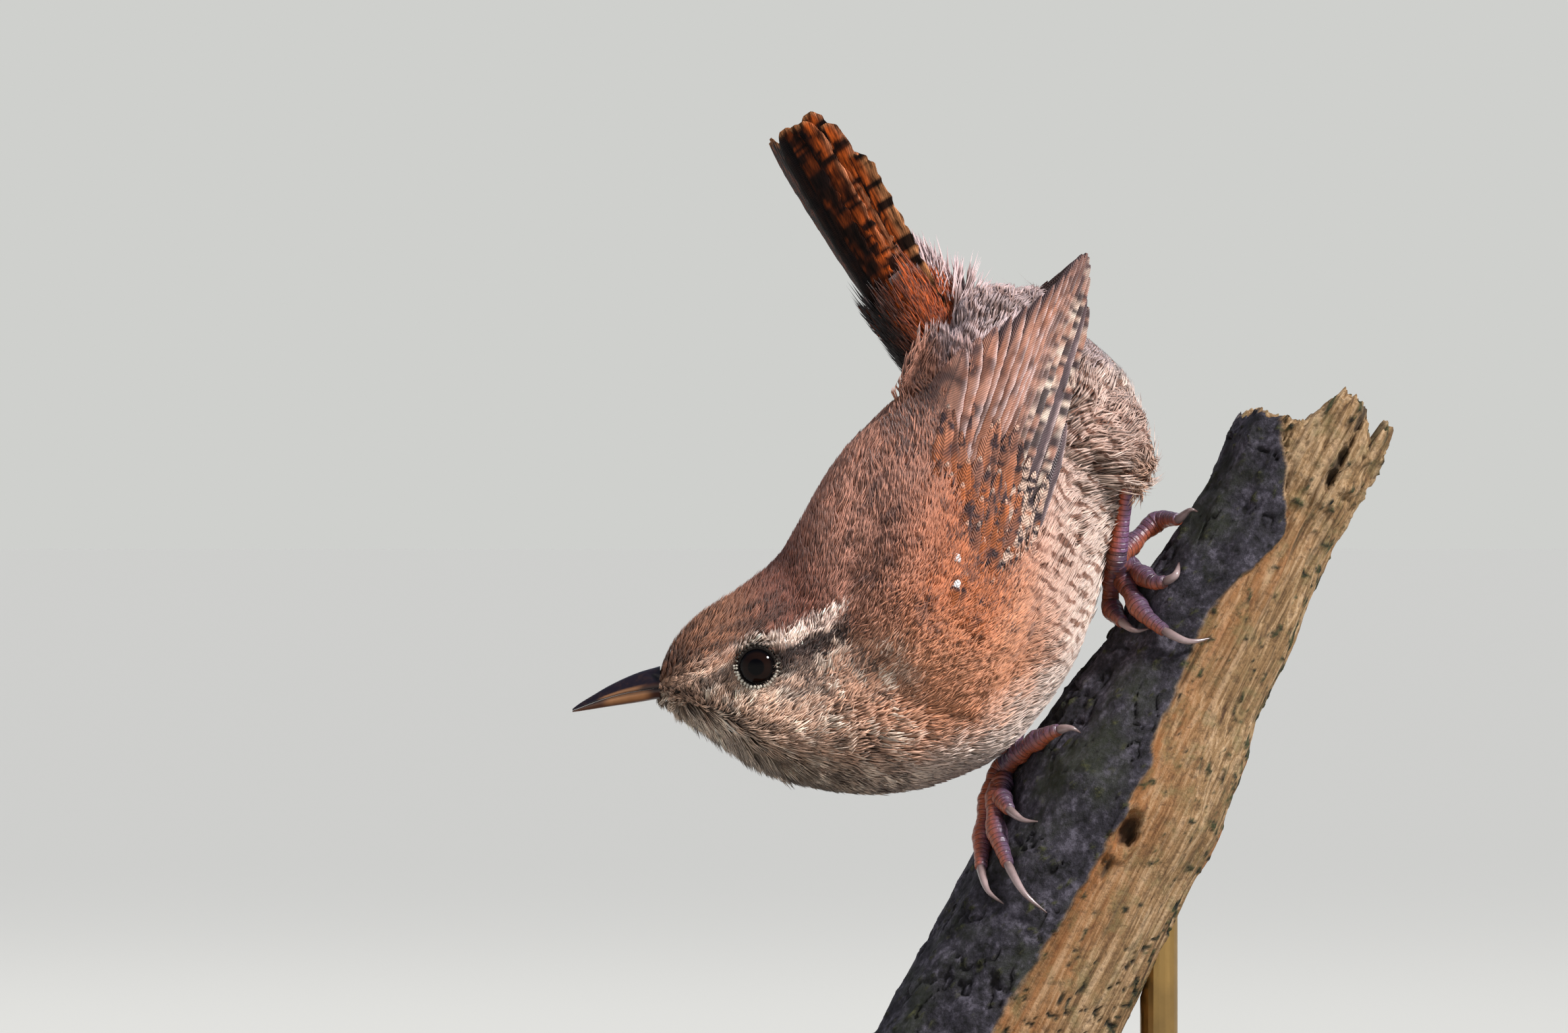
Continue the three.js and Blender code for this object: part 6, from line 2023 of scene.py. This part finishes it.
class WREN_OT_wings(bpy.types.Operator):
    """Wings: closed thin vanes with raised shafts on the folded sheet, and tufts over its front rim"""

    bl_idname = "wren.wings"
    bl_label = "Wings"

    # Reach of the cloak behind the wrist (second row) by its place above the lower edge (first row).
    CLOAK_FRONT = np.array([[-2.0, -1.0, -0.2, 1.2, 3.0, 6.0, 8.0], [6.0, 4.4, 2.0, 0.2, 0.2, 3.0, 6.0]])

    def execute(self, context):
        settings = context.scene.wren
        colour = palette(settings.plumage)
        finish = vane_finish("flight_vane")
        soft = vane_finish("covert_vane", pitch=0.36, gloss=0.6, mirror=0.3, relief=0.42)
        tuft = feather_finish("cloak_feather")
        for index, (side, wing) in enumerate(WINGS.items()):
            add_vanes(f"wing_{side}_flight", "flight_feather", wing.place, flight_specs(colour),
                      paint_flight, finish, f"wing_{side}")
            add_vanes(f"wing_{side}_coverts", "flight_feather", wing.place, covert_specs(colour),
                      paint_covert, soft)
            self.cloak(settings, colour, wing, side, tuft, index)
        return {"FINISHED"}

    def cloak(self, settings, colour, wing, side, finish, index):
        """Lesser coverts and scapulars: tufts from the breast and mantle onto the wing's front and
        upper rims, coloured like the body beside them."""
        rng = np.random.default_rng(90)
        count = int(3500 * settings.coat.density)
        roots = np.stack([-14 + 36 * rng.random(count), -4.4 + 19 * rng.random(count)], 1)
        u, v = roots.T
        edge = 6.3 + 0.22 * u - 1.8 * smooth(12, 18, u) + 0.5 * noise(95, u / 2, v / 2)
        front = np.interp(v, *self.CLOAK_FRONT)
        grown = ((u < front + 0.5 * rng.normal(0, 1, count)) | (v > edge)) & (v < 14.4 - 0.12 * u)
        roots, front = roots[grown], front[grown]
        u, v = roots.T
        count = len(roots)
        length = (2.9 + 0.9 * rng.random(count)) * settings.coat.length
        near = 1 - wing.beyond(u, v)
        stand = near * smooth(front + 3.0, front, u) + 0.35 * near * smooth(6, 8, v)
        shape = dict(
            SOFT,
            length=length,
            width=2.1 + 0.5 * rng.random(count),
            base=-0.9 - 0.2 * near,
            tip=0.08 + stand + 0.06 * np.abs(rng.normal(0, 1, count)),
            bow=rng.normal(0, 0.12, count) * length,
            ragged=0.16,
            loose=0.08,
        )

        def tint(shown, place):
            rgb, bars = plumage_near(place, colour)
            warm = smooth(-8, 0, shown[:, 0]) * smooth(12, 6, shown[:, 1]) * smooth(-2, 1, shown[:, 1])
            spots = smooth(0.25, 0.5, lattice_noise(place / 0.8, 97)) * smooth(-8, -2, shown[:, 0])
            rgb = blend(rgb, colour["covert"] * 1.1, 0.75 * warm)
            return blend(rgb, colour["wing_dark"], 0.6 * spots), np.maximum(bars, 0.3)

        turn = -0.28 * (1 - smooth(-7, 3, u)) + rng.normal(0, 0.08, count)
        chart = np.stack([(u + 15) / 39, (v + 5) / 21], 1)
        lay_coat(f"wing_{side}_cloak", "mantle_feather", wing.cloak, roots, shape, tint, finish, chart,
                 turn=turn, seed=94 + index)


class WREN_OT_tail(bpy.types.Operator):
    """Tail: twelve barred vanes on a tent-shaped sheet, with coverts above and below"""

    bl_idname = "wren.tail"
    bl_label = "Tail"

    def execute(self, context):
        colour = palette(context.scene.wren.plumage)
        finish = vane_finish("tail_vane", pitch=0.28, gloss=0.6, sheen=0.0, mirror=0.07, streak=0.85)
        add_vanes("tail_vanes", "tail_feather", tail_place, tail_specs(colour), paint_tail, finish, "tail")
        return {"FINISHED"}


class WREN_OT_eyes(bpy.types.Operator):
    """Eyes: a wet ball in a swollen lid with a ring of tiny papillae"""

    bl_idname = "wren.eyes"
    bl_label = "Eyes"

    def execute(self, context):
        horn = context.scene.wren.horn
        shade = shades(horn)
        wet = eye_finish(shade["pupil"], shade["iris"])
        lid = down_finish("lid_skin")
        for name, sign in (("left", 1), ("right", -1)):
            centre, look, depth = eye_place(sign)
            right, up = side_axes(look)
            polar, round_ = ring_grid(0.02, np.pi - 0.02, 40, 48)
            way = (look * np.cos(polar)[..., None] + right * (np.sin(polar) * np.cos(round_))[..., None]
                   + up * (np.sin(polar) * np.sin(round_))[..., None])
            bulge = 1 + 0.02 * smooth(0.6, 0.0, polar)
            share = np.clip(polar / np.arcsin(EYE_OPENING / EYE_BALL), 0, 1)
            tint = np.concatenate([share.ravel(), [0, 1]])[:, None] * np.ones(3)
            ball = closed(centre + way * (EYE_BALL * bulge)[..., None])
            add_piece(f"eyeball_{name}", "eye", ball, tint, wet, f"eye_{name}")
            self.lids(name, centre + look * (depth - 0.02), look, right, up, palette(horn), lid)
        return {"FINISHED"}

    def lids(self, name, rim, look, right, up, colour, finish):
        """A ring round the opening with a ring of small beads on it; the inner beads are larger below."""
        columns, ring = 120, 14
        theta, phi = turns(columns), turns(ring)
        lump = noise(7, np.cos(theta) * 3, np.sin(theta) * 3)
        thick = 0.17 + 0.02 * lump
        out = right * np.cos(theta)[:, None] + up * np.sin(theta)[:, None]
        reach = EYE_OPENING + 0.04 + thick[:, None] * np.cos(phi)
        points = rim + out[:, None] * reach[..., None] + look * (thick[:, None] * np.sin(phi))[..., None]
        points = points.reshape(-1, 3)
        faces = outward(points, [ring_faces(columns + 1, ring)[0] % len(points)])
        tint = np.ones((len(points), 3)) * colour["lid_dark"]
        rng = np.random.default_rng(121)
        beads = 74
        angle = np.arange(beads) * 2 * np.pi / (beads / 2) + rng.normal(0, 0.03, beads)
        row = np.arange(beads) // (beads // 2)
        way = right * np.cos(angle)[:, None] + up * np.sin(angle)[:, None]
        lower = smooth(0.1, -0.6, np.sin(angle)) * (row == 0)
        size = (0.10 + 0.03 * rng.random(beads)) * (1 + 0.45 * lower)
        reach = EYE_OPENING + 0.24 + 0.26 * row + 0.04 * rng.normal(0, 1, beads)
        centres = rim + way * reach[:, None] + look * (0.12 - 0.12 * row)[:, None]
        along = np.cross(look, way)
        axes = np.stack([way * (size * 1.2)[:, None], along * (size * 1.05)[:, None],
                         look[None, :] * size[:, None]], 1)
        dots, dot_faces, each = ellipsoids(centres, axes, 4, 6)
        dot_tint = self.shade(way, right, up, colour) * (1 + 0.15 * rng.normal(0, 1, (beads, 1)))
        dot_tint = np.clip(np.repeat(dot_tint, each, axis=0), 0, 1)
        points, faces, tint = gathered([(points, faces, tint), (dots, dot_faces, dot_tint)])
        add_piece(f"lid_{name}", "crown_feather", (points, faces), tint, finish)

    def shade(self, way, right, up, colour):
        """Pale below and behind, dark elsewhere."""
        low = smooth(0.1, -0.5, way @ up - 0.35 * np.abs(way @ right))
        return blend(colour["lid_dark"] * np.ones((len(way), 3)), colour["lid_pale"], 0.06 + 0.94 * low)


class WREN_OT_bill(bpy.types.Operator):
    """Bill: two half-round horn halves on the mouth line, with a nostril on either side"""

    bl_idname = "wren.bill"
    bl_label = "Bill"

    def execute(self, context):
        horn = context.scene.wren.horn
        shade = shades(horn)
        top = horn_finish("upper_horn", shade["bill_top"], shade["bill_low"], shade["bill_root"])
        low = horn_finish("lower_horn", shade["bill_tip"], shade["bill_low"], shade["bill_root"])
        for name, edge, way, finish, slot in (("upper", "culmen", 1, top, "bill_horn"),
                                              ("lower", "lower", -1, low, "bill_horn_pale")):
            *shape, tint = mandible(edge, way)
            add_piece(f"bill_{name}_horn", slot, shape, tint, finish, f"bill_{name}")
        return {"FINISHED"}


class WREN_OT_legs(bpy.types.Operator):
    """Legs: scaled shanks and toes as round sections on smooth paths, and horn claws on the branch"""

    bl_idname = "wren.legs"
    bl_label = "Legs"

    TOE_RADII = [1.15, 0.88, 1.16, 0.80, 1.10, 0.78, 0.62]
    CLAW_RADII = [0.34, 0.50, 0.40, 0.25, 0.07]

    def execute(self, context):
        shade = shades(context.scene.wren.horn)
        skin = leg_finish(shade["leg_front"], shade["leg_side"], shade["leg_dark"])
        horn = claw_finish(shade["claw_pale"], shade["claw_dark"])
        for side, leg in LEGS.items():
            ankle, joint, down = leg_line(leg)
            top = ankle - down * 0.6
            knots = [top, top + (joint - top) * 0.5, joint - down * 0.1]
            shank = tube(knots, [0.90, 0.76, 0.80, 1.08], 110, 20, self.shank_ripple)
            self.add(f"shank_{side}_skin", [shank], skin, f"shank_{side}")
            toes, claws = self.toes(leg, joint, down)
            self.add(f"foot_{side}_skin", toes, skin, f"foot_{side}")
            *shape, tint = gathered(claws)
            add_piece(f"claws_{side}", "leg_scale", shape, tint, horn)
        return {"FINISHED"}

    def shank_ripple(self, t, angle):
        """Shallow scutes along the front and a dent on either side."""
        scutes = 0.07 * np.abs(np.sin(t * 26)) * (0.5 + 0.5 * np.sin(angle))
        return 1 + scutes - 0.05 * (np.cos(2 * angle) < -0.7)

    def toe_ripple(self, t, angle):
        """Plump pads between creases, stronger above."""
        return 1 + 0.16 * np.abs(np.sin(t * 34)) ** 0.6 * (0.6 + 0.4 * np.sin(angle))

    def toes(self, leg, joint, down):
        """Tubes of a foot's heel and toes, and of the claws, laid on the branch's near surface."""
        heel = tube([joint - down * 0.3, joint + down * 1.2, joint + down * 2.3], [0.95, 1.2, 0.8], 30, 20)
        toes, claws = [heel], []
        root = joint + down * 1.2
        for path, claw in leg["toes"]:
            knuckles = [on_branch(x, z, 0.98) for x, z in path]
            knuckles[0] = knuckles[0] * 0.7 + root * 0.3
            toes.append(tube([root, *knuckles], self.TOE_RADII, 110, 18, self.toe_ripple))
            end = knuckles[-1]
            inner = knuckles[1] + (end - knuckles[1]) * 0.75
            hook = [on_branch(x, z, 1.25 if i == 0 else 0.5) for i, (x, z) in enumerate(claw)]
            points, faces, chart = tube([inner, end, *hook], self.CLAW_RADII, 40, 14)
            along = chart[:, 1] / chart[:, 1].max()
            claws.append((points, faces, along[:, None] * np.ones(3)))
        return toes, claws

    def add(self, name, tubes, finish, node):
        """One piece of leg skin, tinted with painted warm glow and cool sheen by the side it faces, with
        painted glow over the shank, and by creases.
        """
        points, faces, chart = gathered(tubes)
        # Painted light: red is the warm glow's share by the side faced, blue the glow over the shank.
        front = smooth(-0.5, 0.7, np.cos(chart[:, 0] * 2 * np.pi))
        dark = smooth(0.1, 0.6, layered_noise(points / 1.1, 3, 131))
        shank = float(name.startswith("shank"))
        tint = np.stack([front, dark * (0.6 - 0.5 * shank), shank + 0 * dark], 1)
        add_piece(name, "leg_scale", (points, faces), tint, finish, node, maps={"Scute": chart})


class WREN_OT_branch(bpy.types.Operator):
    """Branch: rings with noise in layers for bark plates, cracks, wood grooves, moss and a broken top"""

    bl_idname = "wren.branch"
    bl_label = "Branch"

    def execute(self, context):
        *shape, tint = branch_mesh()
        finish = branch_finish(shades(context.scene.wren.branch))
        add_piece("dead_branch", "branch", shape, tint, finish, "perch")
        return {"FINISHED"}


class WREN_OT_stand(bpy.types.Operator):
    """Finish of the stand's own base and rods"""

    bl_idname = "wren.stand"
    bl_label = "Stand finish"

    def execute(self, context):
        shade = shades(context.scene.wren.stage)
        wood = stand_wood_finish(shade["base_dark"], shade["base_pale"])
        metal = rod_finish(shade["brass"])
        for name, finish in (("stand_base", wood), ("stand_rod_1", metal), ("stand_rod_2", metal)):
            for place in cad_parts[name].material_slots:
                place.material = finish
        return {"FINISHED"}


class WREN_OT_stage(bpy.types.Operator):
    """Stage: pale floor and backdrop, three soft lamps and the camera level with the bird"""

    bl_idname = "wren.stage"
    bl_label = "Stage"

    TARGET = Vector((-0.02147, 0.0, 0.0788))
    KEY_WAY = Vector((0.62, -0.45, 0.64))
    # Name, direction from the bird, distance and width of the soft lamps.
    LIGHTS = (("fill", (-0.72, -0.66, 0.22), 1.3, 0.9), ("rim", (-0.25, 0.62, 0.74), 1.3, 0.6))
    FLOOR_REACH, SENSOR, NEAR, FAR = 40.0, 36.0, 0.01, 100.0
    # Heights of the air's colours: pale near the horizon, the air's own above.
    AIR_STOPS = ((0.10, "backdrop"), (0.45, "air"))

    def execute(self, context):
        stage = context.scene.wren.stage
        shade = shades(stage)
        corners = np.array([(-1, -1, 0), (1, -1, 0), (1, 1, 0), (-1, 1, 0)]) * self.FLOOR_REACH / MM
        finish = floor_finish(shade["floor"])
        floor = add_mesh("studio_floor", corners, np.array([[0, 1, 2, 3]]), finish, even=False)
        context.scene.world = self.air(stage, shade)
        self.lamp(context, "key", "SUN", self.KEY_WAY, 1.0, energy=stage.key, angle=stage.softness)
        for name, way, distance, size in self.LIGHTS:
            self.lamp(context, name, "AREA", Vector(way), distance, shape="DISK", size=size,
                      energy=getattr(stage, name))
        lens = bpy.data.cameras.new("view")
        lens.lens, lens.sensor_width = stage.lens, self.SENSOR
        lens.clip_start, lens.clip_end = self.NEAR, self.FAR
        camera = bpy.data.objects.new("view", lens)
        camera.location = self.TARGET - Vector((0, stage.distance, 0))
        camera.rotation_euler = (np.pi / 2, 0, 0)
        context.scene.collection.objects.link(camera)
        context.scene.camera = camera
        context.scene.view_settings.view_transform = "Standard"
        return {"FINISHED"}

    def lamp(self, context, name, kind, way, distance, **facts):
        """A lamp that stands off the bird's middle along a direction and shines back at it."""
        light = bpy.data.lights.new(f"{name}_light", kind)
        for key, value in facts.items():
            setattr(light, key, value)
        item = bpy.data.objects.new(f"{name}_light", light)
        item.visible_glossy = kind == "SUN"
        item.location = self.TARGET + way.normalized() * distance
        item.rotation_euler = way.to_track_quat("Z", "Y").to_euler()
        context.scene.collection.objects.link(item)

    def air(self, stage, shade):
        """Surroundings: a pale backdrop near the horizon that darkens upwards."""
        world = bpy.data.worlds.new("studio_air")
        world.use_nodes = True
        tree = world.node_tree
        place = tree.nodes.new("ShaderNodeTexCoord")
        split = tree.nodes.new("ShaderNodeSeparateXYZ")
        ramp = tree.nodes.new("ShaderNodeValToRGB")
        background = tree.nodes["Background"]
        tree.links.new(place.outputs["Generated"], split.inputs[0])
        tree.links.new(split.outputs[2], ramp.inputs[0])
        tree.links.new(ramp.outputs[0], background.inputs["Color"])
        for bit, (position, tone) in zip(ramp.color_ramp.elements, self.AIR_STOPS):
            bit.position, bit.color = position, (*shade[tone], 1)
        background.inputs["Strength"].default_value = stage.air_strength
        return world


STEPS = (WREN_OT_stage, WREN_OT_stand, WREN_OT_branch, WREN_OT_skin, WREN_OT_body_feathers,
         WREN_OT_soft_feathers, WREN_OT_wings, WREN_OT_tail, WREN_OT_eyes, WREN_OT_bill, WREN_OT_legs)


class WREN_PT_panel(bpy.types.Panel):
    """Sidebar panel with one button for each group of pieces"""

    bl_idname = "WREN_PT_panel"
    bl_label = "Wren on a branch"
    bl_space_type = "VIEW_3D"
    bl_region_type = "UI"
    bl_category = "Wren"

    def draw(self, context):
        settings = context.scene.wren
        for step in STEPS:
            self.layout.operator(step.bl_idname)
        for name in ("plumage", "coat", "horn", "branch", "stage"):
            box = self.layout.box()
            group = getattr(settings, name)
            for key in group.bl_rna.properties.keys():
                if key not in ("name", "rna_type"):
                    box.prop(group, key)


CLASSES = (WrenPlumage, WrenCoat, WrenHorn, WrenBranch, WrenStage, WrenSettings, *STEPS, WREN_PT_panel)


def register():
    for kind in CLASSES:
        bpy.utils.register_class(kind)
    bpy.types.Scene.wren = pointer("Wren", "Settings of the wren", WrenSettings)


def unregister():
    del bpy.types.Scene.wren
    for kind in reversed(CLASSES):
        bpy.utils.unregister_class(kind)


def main():
    """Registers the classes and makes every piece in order."""
    register()
    for step in STEPS:
        group, name = step.bl_idname.split(".")
        getattr(getattr(bpy.ops, group), name)()


if __name__ == "__main__":
    main()
